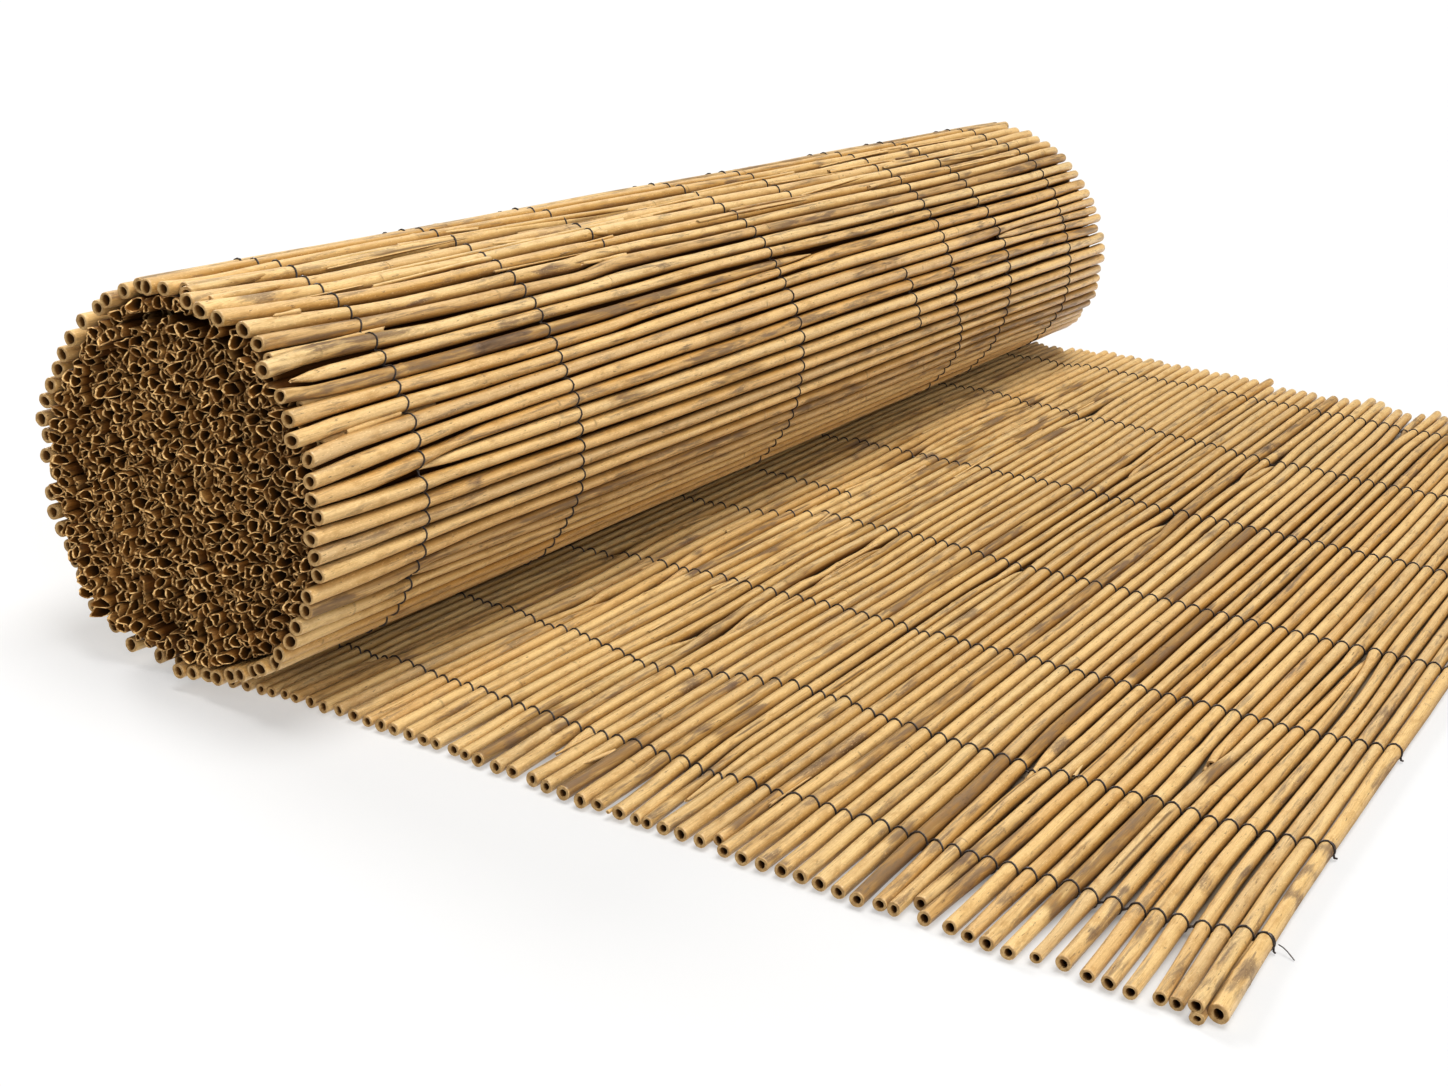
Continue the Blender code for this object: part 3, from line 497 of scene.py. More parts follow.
    # Growth rings, drawn where the mesh has them.
    ring_noise = g.ramp(g.noise(g.place((60.0, 330.0, 330.0), shift), detail=1.0), 0.44, 0.62)
    colour = g.mix(g.math("MULTIPLY", g.math("MULTIPLY", g.ramp(ring, 0.45, 1.0), ring_noise), 0.42), colour,
                   shade_of(grey, 0.50, 0.40, 0.32))
    colour = g.mix(g.math("MULTIPLY", g.ramp(g.math("ADD", slit, g.math("MULTIPLY", g.math("SUBTRACT", strand, 0.5), 0.8)), 0.35, 0.95), 0.72), colour, shade_of(grey, 0.42, 0.32, 0.24))
    # Sawn rim and bore; deep in the bore a painted shade darkens it.
    rim_noise = g.noise(g.place((180.0, 420.0, 420.0)), detail=3.0)
    rim = g.mix(g.ramp(rim_noise, 0.36, 0.60), rim_light, rim_dark)
    colour = g.mix(g.ramp(kind, 0.25, 0.75), colour, rim)
    colour = g.mix(g.ramp(kind, 1.05, 1.55), colour, bore)
    colour = g.mix(g.math("MULTIPLY", g.ramp(kind, 1.05, 1.55), g.ramp(painted_shade, 0.0, 1.0, 0.0, 0.96)), colour,
                   shade_of(bore, 0.11, 0.075, 0.045))
    links.new(colour, shader.inputs["Base Color"])

    rough = g.ramp(fibre, 0.3, 0.8, 0.27, 0.46)
    rough = g.math("ADD", rough, g.math("MULTIPLY", stained, 0.10))
    rough = g.math("ADD", rough, g.ramp(kind, 0.3, 1.0, 0.0, 0.35), clamp=True)
    rough = g.math("ADD", rough, g.math("MULTIPLY", painted_gap_shade, 0.30), clamp=True)
    links.new(rough, shader.inputs["Roughness"])
    dull = g.math("MAXIMUM", g.ramp(painted_shade, 0.10, 0.50), g.ramp(kind, 0.9, 1.4))
    links.new(g.math("SUBTRACT", 0.72, g.math("MULTIPLY", dull, 0.58)), shader.inputs["Specular IOR Level"])

    height = g.math("ADD", g.math("MULTIPLY", fibre, 0.7), g.math("MULTIPLY", strand, 0.6))
    height = g.math("ADD", height, g.math("MULTIPLY", smear, 0.5))
    height = g.math("SUBTRACT", height, g.math("MULTIPLY", mark, 0.30))
    bump = nodes.new("ShaderNodeBump")
    bump.inputs["Strength"].default_value = 0.30
    bump.inputs["Distance"].default_value = 0.0005
    links.new(height, bump.inputs["Height"])
    links.new(bump.outputs[0], shader.inputs["Normal"])
    return material


def wire_material():
    material, nodes, links, shader = new_material("binding_wire")
    g = Graph(nodes, links)
    rust = g.noise(g.place((500.0, 500.0, 500.0)), detail=3.0)
    colour = g.mix(g.ramp(rust, 0.45, 0.7), (0.058, 0.048, 0.047, 1.0), (0.105, 0.075, 0.053, 1.0))
    links.new(colour, shader.inputs["Base Color"])
    links.new(g.ramp(rust, 0.3, 0.7, 0.36, 0.60), shader.inputs["Roughness"])
    shader.inputs["Metallic"].default_value = 0.25
    bump = nodes.new("ShaderNodeBump")
    bump.inputs["Strength"].default_value = 0.3
    bump.inputs["Distance"].default_value = 0.0002
    links.new(rust, bump.inputs["Height"])
    links.new(bump.outputs[0], shader.inputs["Normal"])
    return material


# ------------------------------------------------------------------- canes
def lay_out(rows, stations):
    """Places across the mat of all canes on GRID, with NaN where a cane is absent."""
    places = np.full((len(rows), len(GRID)), np.nan)
    for i, (near, far, values) in enumerate(rows):
        known = [(s, v) for s, v in zip(stations, values) if v is not None]
        xs = np.array([s for s, _ in known])
        ys = np.array([v for _, v in known])
        here = (GRID > near + (0.009 if near > 0.030 else -0.0051)) & (GRID < far - (0.009 if far < 0.905 else -0.0051))
        if len(xs) == 1:
            places[i, here] = ys[0]
        else:
            places[i, here] = smooth_curve(xs, ys, GRID[here])
    return places


def relax(places, low, high, free, hold):
    """Draw neighbours together over gaps wider than high and apart where closer than low."""
    n, m = places.shape
    shift = np.zeros((n, m))
    for g in range(m):
        here = np.nonzero(~np.isnan(places[:, g]))[0]
        if len(here) < 3 or free[g] <= 0.0:
            continue
        here = here[np.argsort(places[here, g])]
        p = places[here, g].copy()
        for _ in range(30):
            gap = np.diff(p)
            pull = np.maximum(gap - high, 0.0) - np.maximum(low - gap, 0.0)
            move = np.zeros(len(p))
            move[:-1] += 0.25 * pull
            move[1:] -= 0.25 * pull
            move[0] *= 0.3
            move[-1] = 0.0
            p += move
        shift[here, g] = (p - places[here, g]) * free[g]
    last = int(round((hold - GRID[0]) / (GRID[1] - GRID[0])))
    shift[:, last:] = shift[:, last:last + 1]
    kernel = np.hanning(33)[1:-1]
    kernel /= kernel.sum()
    padded = np.pad(shift, ((0, 0), (15, 15)), mode="edge")
    return places + np.stack([np.convolve(row, kernel, mode="valid") for row in padded])


def radii_from_gaps(places, nominal, clearance, smallest, largest, closed=None):
    """Radius of each cane along GRID so that neighbours all but touch."""
    n, m = places.shape
    out = np.repeat(np.asarray(nominal, float)[:, None], m, 1)
    for g in range(m):
        here = np.nonzero(~np.isnan(places[:, g]))[0]
        if len(here) < 2:
            continue
        here = here[np.argsort(places[here, g])]
        p = places[here, g]
        gap = np.diff(p)
        before = np.concatenate([[gap[0] if closed is None else p[0] + closed - p[-1]], gap])
        after = np.concatenate([gap, [gap[-1] if closed is None else p[0] + closed - p[-1]]])
        tight = np.minimum(before, after)
        out[here, g] = np.clip(0.5 * (tight - clearance), smallest, np.minimum(nominal[here] * 1.12, largest))
    kernel = np.array([1, 2, 3, 4, 3, 2, 1], float)
    kernel /= kernel.sum()
    padded = np.pad(out, ((0, 0), (3, 3)), mode="edge")
    return np.stack([np.convolve(row, kernel, mode="valid") for row in padded])


def cane_stations(near_x, far_x, rng):
    """Rings along each cane: closer together at the near end, and three at each growth ring."""
    n = len(near_x)
    base = np.concatenate([np.arange(0.014, 0.26, 0.013), np.arange(0.26, 0.62, 0.019), np.arange(0.62, 0.99, 0.029)])
    length = far_x - near_x
    plain = near_x[:, None] + length[:, None] * base[None, :]
    gap = length / NODES
    node_x = near_x[:, None] + gap[:, None] * (np.arange(NODES)[None, :] + rng.uniform(0.10, 0.90, (n, NODES)))
    xs = np.concatenate([plain, node_x - 0.0026, node_x, node_x + 0.0026], 1)
    ring = np.concatenate([np.zeros_like(plain), np.zeros((n, NODES)), np.ones((n, NODES)), np.zeros((n, NODES))], 1)
    order = np.argsort(xs, 1)
    xs = np.take_along_axis(xs, order, 1)
    ring = np.take_along_axis(ring, order, 1)
    xs = np.clip(xs, near_x[:, None] + 0.0030, far_x[:, None] - 0.0030)
    xs += np.linspace(-0.0008, 0.0008, xs.shape[1])[None, :]
    xs = np.concatenate([near_x[:, None], xs, far_x[:, None]], 1)
    ring = np.concatenate([np.zeros((n, 1)), ring, np.zeros((n, 1))], 1)
    return xs, ring, node_x


def cane_mesh(name, xs, centre, rad, ring, tint, stain, slit, sawn_near, sawn_far, rng, material,
              slant=0.10, bore=0.56, sides=SIDES, tip_noise=0.00008, outward=None, shade_strength=1.0):
    """Canes as one joined mesh. xs, rad, ring, tint and stain are (canes, rings); slit has the sides too.
    outward is the way out of the mat, (canes, rings, 2); the painted shade is 0 on that side and 1 on the inner one,
    and it grows deep in the bore."""
    n, m = xs.shape
    theta = np.linspace(0.0, 2.0 * math.pi, sides, endpoint=False)
    if outward is None:
        outward = np.zeros((n, m, 2)) + np.array([0.0, 1.0])
    # Painted shade, 0 to 1: none on the side of a cane that faces out of the mat, full on the side that faces in
    # between the canes; less near the cut ends, and scaled by the given strength.
    facing = outward[..., 0:1] * np.cos(theta) + outward[..., 1:2] * np.sin(theta)
    ends = step(xs - xs[:, :1], 0.004, 0.070) * step(xs[:, -1:] - xs, 0.002, 0.020)
    painted_shade = np.clip((0.94 - facing) / 0.94, 0.0, 1.0) * ((0.25 + 0.75 * ends) * shade_strength)[..., None]
    oval = 1.0 + 0.030 * np.cos(2.0 * (theta[None, :] - rng.uniform(0, math.pi, (n, 1))))
    oval += 0.014 * np.cos(3.0 * (theta[None, :] - rng.uniform(0, math.pi, (n, 1))))
    one = np.ones((n, sides))

    def end_rings(k, way, sawn):
        """Rings from the bore out to the skin at one end; way is -1 near, +1 far."""
        r, c, x_end = rad[:, k], centre[:, k], xs[:, k]
        tilt = np.where(sawn[:, None], slant, 1.1) * rng.uniform(0.15, 1.0, (n, 1))
        cut = tilt * r[:, None] * np.cos(theta[None, :] - rng.uniform(0, 2 * math.pi, (n, 1)))
        cut = cut + np.where(sawn[:, None], tip_noise, 0.0006) * rng.normal(size=(n, sides))
        wall = bore * rng.uniform(0.88, 1.12, (n, 1)) * (
            1.0 + 0.06 * np.cos(2.0 * (theta[None, :] - rng.uniform(0, math.pi, (n, 1))))
            + 0.03 * np.cos(3.0 * (theta[None, :] - rng.uniform(0, math.pi, (n, 1)))))
        wall = np.where(sawn[:, None], wall, wall * 0.6)
        depth = rng.uniform(0.005, 0.010, (n, 1))
        pieces = []
        for inset, scale, kind in ((depth, wall * 0.80, 2.0), (0.0022, wall * 0.95, 1.7), (0.0002, wall, 1.0),
                                   (0.0, 0.91, 1.0), (0.00028, 0.985, 0.6), (0.0014, 1.0, 0.0)):
            x = x_end[:, None] - way * np.where(sawn[:, None], inset, np.minimum(inset, 0.0016)) + cut
            rr = r[:, None] * oval * scale
            pts = np.stack([x, c[:, 0:1] + rr * np.cos(theta), c[:, 1:2] + rr * np.sin(theta)], -1)
            kinds = np.where(sawn[:, None], kind, min(kind, 0.6)) * one
            # Inside the bore the painted shade grows with depth.
            pieces.append((pts, kinds, 0.0 * one, tint[:, k:k + 1] * one, stain[:, k:k + 1] * one, 0.0 * one,
                           painted_shade[:, k] if kind < 1.0 else max(kind - 1.6, 0.0) * 2.5 * one))
        return pieces

    near_rings = end_rings(0, -1.0, sawn_near)
    far_rings = end_rings(m - 1, 1.0, sawn_far)[::-1]
    middle = []
    for s in range(1, m - 1):
        rr = rad[:, s:s + 1] * oval * (1.0 - 0.15 * slit[:, s])
        pts = np.stack([xs[:, s:s + 1] * one, centre[:, s, 0:1] + rr * np.cos(theta),
                        centre[:, s, 1:2] + rr * np.sin(theta)], -1)
        middle.append((pts, 0.0 * one, ring[:, s:s + 1] * one, tint[:, s:s + 1] * one, stain[:, s:s + 1] * one, slit[:, s],
                       painted_shade[:, s]))
    rings = near_rings + middle + far_rings
    verts, kinds, ringed, tints, stains, slits, painted_shades = (np.stack(part, 1) for part in zip(*rings))
    count = len(rings)
    quads, caps = ring_faces(n, count, sides)
    values = {"kind": kinds, "ring": ringed, "tint": tints, "stain": stains, "slit": slits, "painted_shade": painted_shades,
              "phase": np.repeat(rng.uniform(0.0, 1.0, n), count * sides)}
    return mesh_object(name, verts.reshape(-1, 3), quads, caps, values, material)


def nearest_cane(places, x, place):
    column = places[:, int(np.clip(round((x - GRID[0]) / (GRID[1] - GRID[0])), 0, len(GRID) - 1))]
    gap = np.abs(np.where(np.isnan(column), 1e9, column) - place)
    i = int(np.argmin(gap))
    return i, float(column[i])


def shades(rng, xs, node_x, brown=0.07):
    """tint and stain along each cane: most are gold, a few brown or heavily stained."""
    n = len(xs)
    tint = np.clip(rng.normal(0.25, 0.17, n), -0.05, 0.60)
    tint = np.where(rng.uniform(size=n) < brown, rng.uniform(0.55, 0.85, n), tint)
    tint = tint[:, None] + wave(rng, xs, 0.07, 0.45)
    # From one growth ring to the next the shade changes a little.
    for k in range(node_x.shape[1]):
        tint += np.where(xs > node_x[:, k:k + 1], rng.normal(0.0, 0.10, (n, 1)), 0.0)
    stain = np.clip(rng.normal(0.02, 0.10, n), 0.0, 0.35)[:, None] + np.zeros_like(xs)
    return tint, stain


def paint(places, xs, tint, stain, browns, stains):
    """Lay the brown lengths and the stains on the canes they are seen on."""
    for x0, x1, place, amount in browns:
        i, _ = nearest_cane(places, 0.0005 * (x0 + x1), place)
        window = step(xs[i], x0 / 1000 - 0.002, x0 / 1000 + 0.003) * step(xs[i], x1 / 1000 + 0.010, x1 / 1000 - 0.006)
        tint[i] = tint[i] * (1 - window) + amount * window
    for x0, x1, place, amount in stains:
        i, _ = nearest_cane(places, 0.0005 * (x0 + x1), place)
        window = step(xs[i], x0 / 1000 - 0.006, x0 / 1000 + 0.006) * step(xs[i], x1 / 1000 + 0.006, x1 / 1000 - 0.006)
        stain[i] = np.maximum(stain[i], amount * window)


# -------------------------------------------------------------------- wires
def wire_tubes(name, paths, radii, material, sides=6):
    """Tubes along paths, each an (n, 3) array, as one joined mesh."""
    verts, quads, caps, offset = [], [], [], 0
    spin = np.linspace(0.0, 2.0 * math.pi, sides, endpoint=False)
    for path, radius in zip(paths, radii):
        path = np.asarray(path, float)
        path[:, 2] = np.maximum(path[:, 2], radius + 0.00003)
        along = np.gradient(path, axis=0)
        along /= np.linalg.norm(along, axis=1, keepdims=True)
        side = np.cross(along, np.array([1.0, 0.0, 0.0]))
        weak = np.linalg.norm(side, axis=1) < 0.2
        side[weak] = np.cross(along[weak], np.array([0.0, 0.0, 1.0]))
        side /= np.linalg.norm(side, axis=1, keepdims=True)
        up = np.cross(along, side)
        ring = (path[:, None, :] + radius * (np.cos(spin)[None, :, None] * side[:, None, :]
                                             + np.sin(spin)[None, :, None] * up[:, None, :]))
        n = len(path)
        q, c = ring_faces(1, n, sides)
        verts.append(ring.reshape(-1, 3))
        quads.append(q[:, ::-1] + offset)
        caps.append(c[:, ::-1] + offset)
        offset += n * sides
    return mesh_object(name, np.concatenate(verts), np.concatenate(quads), np.concatenate(caps), {}, material)


def row_canes(row, places, canes):
    """Canes that a row of wire passes: X of the row, centre, radius and order, place by place."""
    xs, centre, rad = canes
    px = np.array([p for p, _ in row], float)
    rx = np.array([x for _, x in row], float) / 1000.0
    found = []
    for i in range(len(xs)):
        near, far = xs[i, 0], xs[i, -1]
        x = rx.mean()
        for _ in range(3):
            column = np.interp(x, GRID, np.nan_to_num(places[i], nan=np.nanmean(places[i])))
            x = float(np.interp(column, px, rx))
        if near + 0.004 < x < far - 0.004 and px[0] <= column <= px[-1]:
            c = np.array([np.interp(x, xs[i], centre[i, :, 0]), np.interp(x, xs[i], centre[i, :, 1])])
            r = float(np.interp(x, xs[i], rad[i]))
            if r > 0.0012:
                found.append((column, x, c, r))
    found.sort(key=lambda f: f[0])
    return found


def binding_row(found, outward_of, rng, under=0.0, lean_scale=0.0006):
    """Two strands of wire that twist once between canes and pass over and under them."""
    n = len(found)
    x = np.array([f[1] for f in found]) + rng.normal(0.0, 0.0006, n)
    centre = np.array([f[2] for f in found])
    rad = np.array([f[3] for f in found])
    up = outward_of(np.array([f[0] for f in found]))
    tilt = rng.normal(0.0006, 0.0005, n)
    strands = []
    for strand in range(2):
        points = []
        for k in range(n):
            here = centre[k]
            before = centre[k - 1] if k > 0 else here - (centre[k + 1] - here)
            after = centre[k + 1] if k < n - 1 else here + (here - centre[k - 1])
            along = after - before
            along -= up[k] * np.dot(along, up[k])
            along /= np.linalg.norm(along)
            over = (k + strand) % 2 == 0
            sign = 1.0 if over else -1.0
            reach = rad[k] * 1.02 + (0.00030 if over else under)
            for a in (-84.0, -56.0, -28.0, 0.0, 28.0, 56.0, 84.0):
                s, c = math.sin(math.radians(a)), math.cos(math.radians(a))
                y, z = here + along * reach * s + up[k] * reach * c * sign
                points.append((x[k] - tilt[k] * s + (lean_scale if over else -lean_scale) * (1 - abs(s)), y, z))
            if k < n - 1:
                mid = 0.5 * (here + centre[k + 1])
                twist = 0.00034 * (1.0 if over else -1.0)
                points.append((0.5 * (x[k] + x[k + 1]) + twist, mid[0], mid[1]))
        strands.append(np.array(points))
    return strands


# --------------------------------------------------------------------- core
def cell_of(point, others, limit_r, limit_dir, reach):
    """Corner points of the region nearer to point than to others, within the roll."""
    corners = [point + np.array(d) * reach for d in ((-1, -1), (1, -1), (1, 1), (-1, 1))]
    planes = [((o - point) / np.linalg.norm(o - point), 0.5 * (o + point)) for o in others]
    planes.append((limit_dir, limit_dir * limit_r))
    for normal, through in planes:
        kept = []
        for i, a in enumerate(corners):
            b = corners[(i + 1) % len(corners)]
            da, db = np.dot(a - through, normal), np.dot(b - through, normal)
            if da <= 0.0:
                kept.append(a)
            if (da < 0.0) != (db < 0.0) and da != db:
                kept.append(a + (b - a) * (da / (da - db)))
        corners = kept
        if len(corners) < 3:
            break
    return corners


def core_layout(rng):
    """Places of the tubes in the wound core and their cells, about the roll's axis."""
    def limit(p):
        angle = math.degrees(math.atan2(p[0], -p[1])) % 360.0
        return float(smooth_curve(WRAP[:, 0], WRAP[:, 1], np.array([angle]))[0]) - ROLL_R - 0.0008

    points = []
    first = 0
    for inset, pitch, jitter in ((0.0031, 0.0066, 0.0004), (0.0090, 0.0058, 0.0007)):
        first = len(points)
        angle = 2.0
        while angle < 356.0:
            d = np.array([math.sin(math.radians(angle)), -math.cos(math.radians(angle))])
            r = limit(d) - inset
            points.append(d * r + rng.normal(0.0, jitter, 2))
            small = 0.86 if 140.0 < angle < 222.0 else 1.0
            angle += math.degrees(pitch * small / r) * rng.uniform(0.88, 1.12)
    # The wrap steps inwards where the roll meets its own loose end.
    points = [p if np.linalg.norm(p) < limit(p) - 0.0022 else p * ((limit(p) - 0.0024) / np.linalg.norm(p)) for p in points]
    fixed = len(points)
    grid = 0.080
    tries = 0
    while tries < 26000:
        tries += 1
        p = rng.uniform(-grid, grid, 2)
        if np.linalg.norm(p) > limit(p) - 0.0125:
            continue
        arr = np.array(points)
        if np.min(np.sum((arr - p) ** 2, 1)) > (CORE_SPACING * 0.80) ** 2:
            points.append(p)
    points = np.array(points)
    cells = None
    for turn in range(4):
        cells = []
        for i, p in enumerate(points):
            d2 = np.sum((points - p) ** 2, 1)
            near = np.argsort(d2)[1:15]
            direction = p / max(np.linalg.norm(p), 1e-6)
            corners = cell_of(p, points[near], limit(p), direction, 0.02)
            if len(corners) < 3:
                corners = [p + 0.0012 * np.array(d) for d in ((-1, -1), (1, -1), (1, 1), (-1, 1))]
            cells.append(corners)
        if turn < 3:
            for i in range(fixed, len(points)):
                c = np.mean(cells[i], 0)
                points[i] = points[i] * 0.45 + c * 0.55
    return points, cells, fixed, first


def build_core(rng, material):
    """Thin crumpled tubes that fill the roll inside its outermost wrap."""
    points, cells, fixed, first = core_layout(rng)
    sides = 16
    theta = np.linspace(0.0, 2.0 * math.pi, sides, endpoint=False)
    rays = np.stack([np.cos(theta), np.sin(theta)], -1)
    n = len(points)
    outline = np.empty((n, sides))
    middle = np.empty((n, 2))
    for i, corners in enumerate(cells):
        corners = np.array(corners)
        c = corners.mean(0)
        middle[i] = c
        edge = np.roll(corners, -1, 0) - corners
        for j, ray in enumerate(rays):
            best = 0.01
            for a, e in zip(corners, edge):
                den = ray[0] * e[1] - ray[1] * e[0]
                if abs(den) < 1e-12:
                    continue
                w = a - c
                t = (w[0] * e[1] - w[1] * e[0]) / den
                u = (w[0] * ray[1] - w[1] * ray[0]) / den
                if t > 0 and -1e-6 <= u <= 1 + 1e-6:
                    best = min(best, t)
            outline[i, j] = best
    # Round the cells a little and leave a gap; then crumple them, neighbours together.
    mean = outline.mean(1, keepdims=True)
    wrap_ring = (np.arange(n) < fixed)
    rounding = np.where(wrap_ring, 0.75, 0.22)[:, None]
    outline = outline * (1 - rounding) + np.minimum(mean, outline * 1.15) * rounding
    outline = np.minimum(outline, np.where(wrap_ring, 0.0034, 0.0046)[:, None]) * 0.985
    angle = theta[None, :]
    for strength in (0.40, 0.26):
        at = rng.uniform(0, 2 * math.pi, (n, 1))
        width = rng.uniform(0.30, 0.62, (n, 1))
        depth = strength * rng.uniform(0.0, 1.0, (n, 1)) * np.where(wrap_ring, 0.14, 1.0)[:, None]
        turn = np.angle(np.exp(1j * (angle - at)))
        outline = outline * (1.0 - depth * np.exp(-(turn / width) ** 2))
    skin = middle[:, None, :] + rays[None] * outline[..., None]
    swirl = np.zeros_like(skin)
    for _ in range(5):
        a, b = rng.uniform(0, 2 * math.pi, 2)
        size = rng.uniform(0.0065, 0.0115)
        swirl += (0.00048 * np.array([math.cos(a), math.sin(a)])
                  * np.sin((skin[..., 0:1] * math.cos(b) + skin[..., 1:2] * math.sin(b)) * 2 * math.pi / size + rng.uniform(0, 6)))
    amount = step(np.linalg.norm(skin, axis=-1), 0.0865, 0.0790) * np.where(wrap_ring, 0.0, 1.0)[:, None]
    skin = skin + swirl * amount[..., None]
    hub = skin.mean(1)
    arm = skin - hub[:, None, :]
    reach = np.linalg.norm(arm, axis=-1)
    wall = rng.uniform(0.00040, 0.00070, (n, 1)) * (1.0 + 0.20 * rng.normal(size=(n, sides)))
    lumen = hub[:, None, :] + arm * np.maximum(1.0 - wall / reach, 0.30)[..., None]

    direction = np.degrees(np.arctan2(middle[:, 0], -middle[:, 1])) % 360.0
    radial = np.linalg.norm(middle, axis=1)
    share = np.clip(radial / 0.09, 0, 1)
    _, _, wrap_near, wrap_far = wrap_at(direction)
    near_mean, far_mean = float(wrap_near.mean()), float(wrap_far.mean())
    recess = 0.0115 - 0.0050 * step(direction, 196.0, 160.0) - 0.0025 * step(direction, 75.0, 55.0)
    recess = np.where((direction < 30) | (direction > 335), 0.005, recess)
    near_x = (near_mean + 0.010) * (1 - share) + (wrap_near + recess) * share
    far_x = (far_mean - 0.010) * (1 - share) + (wrap_far - recess) * share
    near_x = near_x + np.clip(rng.normal(0.0, 0.0019, n), -0.0045, 0.007)
    near_x = np.where(wrap_ring, near_x - 0.0045, near_x)
    # Under the top the second wrap stands clear of the canes inside it.
    second = (np.arange(n) >= first) & wrap_ring
    slack = second * step(direction, 150.0, 160.0) * step(direction, 212.0, 204.0)
    near_x = near_x + 0.020 * slack
    far_x = far_x + np.clip(rng.normal(0.0, 0.0034, n), -0.011, 0.0075)
    near_cut = (0.0003 * rng.normal(size=(n, sides))
                + rng.uniform(0.0, 0.0026, (n, 1)) * np.cos(angle - rng.uniform(0, 2 * math.pi, (n, 1)))
                + rng.uniform(0.0, 0.0012, (n, 1)) * np.cos(2 * angle - rng.uniform(0, 2 * math.pi, (n, 1))))
    # Torn lips on some tubes.
    torn = rng.uniform(size=(n, 1)) < 0.50
    lip_at = rng.uniform(0, 2 * math.pi, (n, 1))
    turn = np.angle(np.exp(1j * (angle - lip_at)))
    lip = np.exp(-(turn / rng.uniform(0.35, 0.8, (n, 1))) ** 2) * torn
    near_cut = near_cut - lip * rng.uniform(0.001, 0.0045, (n, 1))
    splay = 1.0 + lip * rng.uniform(-0.30, 0.20, (n, 1))
    rings = []
    above = np.array([0.0, ROLL_AXIS_Z])

    def ring(x, loop, scale, kind, dark):
        across = hub[:, None, :] + (loop - hub[:, None, :]) * (scale * np.ones((n, sides)))[..., None] + above
        pts = np.concatenate([(x * np.ones((n, sides)))[..., None], across], -1)
        rings.append((pts, np.full((n, sides), kind), np.full((n, sides), dark)))

    round_r = np.minimum(reach, reach.mean(1, keepdims=True))
    tube = hub[:, None, :] + rays[None] * round_r[..., None]
    near_x, far_x = near_x[:, None], far_x[:, None]
    # The last number of each ring is painted shade: 0 at the cut rim, rising to 1 deep in the bore and along the tube's
    # side away from the rim.
    ring(near_x + 0.0135, lumen, 0.72, 2.0, 1.0)
    ring(near_x + 0.0050 + near_cut * 0.4, lumen, 0.92, 2.0, 0.85)
    ring(near_x + 0.0014 + near_cut * 0.8, lumen, 1.0, 1.8, 0.25)
    ring(near_x + 0.0003 + near_cut, lumen, splay, 1.0, 0.0)
    ring(near_x + near_cut, skin, 0.985 * splay, 1.0, 0.0)
    ring(near_x + 0.0012 + near_cut * 0.8, skin, 0.5 + 0.5 * splay, 0.2, 0.0)
    ring(near_x + 0.0055, skin, 1.0, 0.0, 0.9)
    ring(near_x + 0.040, tube, 1.0, 0.0, 1.0)
    ring(far_x - 0.040, tube, 1.0, 0.0, 1.0)
    ring(far_x - 0.005, skin, 1.0, 0.0, 0.8)
    ring(far_x - near_cut, skin, 0.985, 1.0, 0.0)
    ring(far_x - 0.0003 - near_cut, lumen, 1.0, 1.0, 0.0)
    ring(far_x - 0.010, lumen, 0.80, 2.0, 1.0)
    darks = np.stack([d for _, _, d in rings], 1)
    verts = np.stack([p for p, _, _ in rings], 1)
    kinds = np.stack([k for _, k, _ in rings], 1)
    count = len(rings)
    tint = rng.uniform(0.10, 0.85, n)
    stain = rng.uniform(0.0, 0.45, n)
    phase = rng.uniform(0.0, 1.0, n)
    pieces = []
    outer_half = radial > np.median(radial)
    for name, mask in (("core_inner_wraps", ~outer_half), ("core_outer_wraps", outer_half)):
        pick = np.nonzero(mask)[0]
        quads, caps = ring_faces(len(pick), count, sides)

        def each(value):
            return np.repeat(value[pick], count * sides)

        nothing = np.zeros(len(pick) * count * sides)
        values = {"kind": kinds[pick], "ring": nothing, "slit": nothing, "painted_shade": darks[pick], "tint": each(tint),
                  "stain": each(stain), "phase": each(phase)}
        pieces.append(mesh_object(name, verts[pick].reshape(-1, 3), quads, caps, values, material))
    return pieces


# -------------------------------------------------------------------- build
STRAW = (0.665, 0.476, 0.222, 1.0)
STRAW_DEEP = (0.525, 0.332, 0.122, 1.0)
GREY = (0.275, 0.200, 0.130, 1.0)
BORE = (0.205, 0.098, 0.027, 1.0)

cane_mat_args = (STRAW, STRAW_DEEP, GREY, BORE, (0.56, 0.385, 0.180, 1.0), (0.42, 0.265, 0.108, 1.0))
loose_mat = cane_material("loose_cane", *cane_mat_args)
# The roll's canes take a paler copy of the cane colours: painted light, so the roll reads brighter than the loose end.
roll_mat = cane_material("roll_cane", (0.735, 0.532, 0.258, 1.0), (0.560, 0.360, 0.136, 1.0), *cane_mat_args[2:])
# The core canes take a darker copy of the cane colours: painted shade for the inside of the roll, partly their own
# deeper brown.
core_mat = cane_material("core_cane", (0.38, 0.206, 0.062, 1.0), (0.195, 0.088, 0.019, 1.0), (0.130, 0.072, 0.030, 1.0),
                         (0.190, 0.080, 0.013, 1.0), (0.98, 0.690, 0.330, 1.0), (0.30, 0.155, 0.042, 1.0))
wire_mat = wire_material()


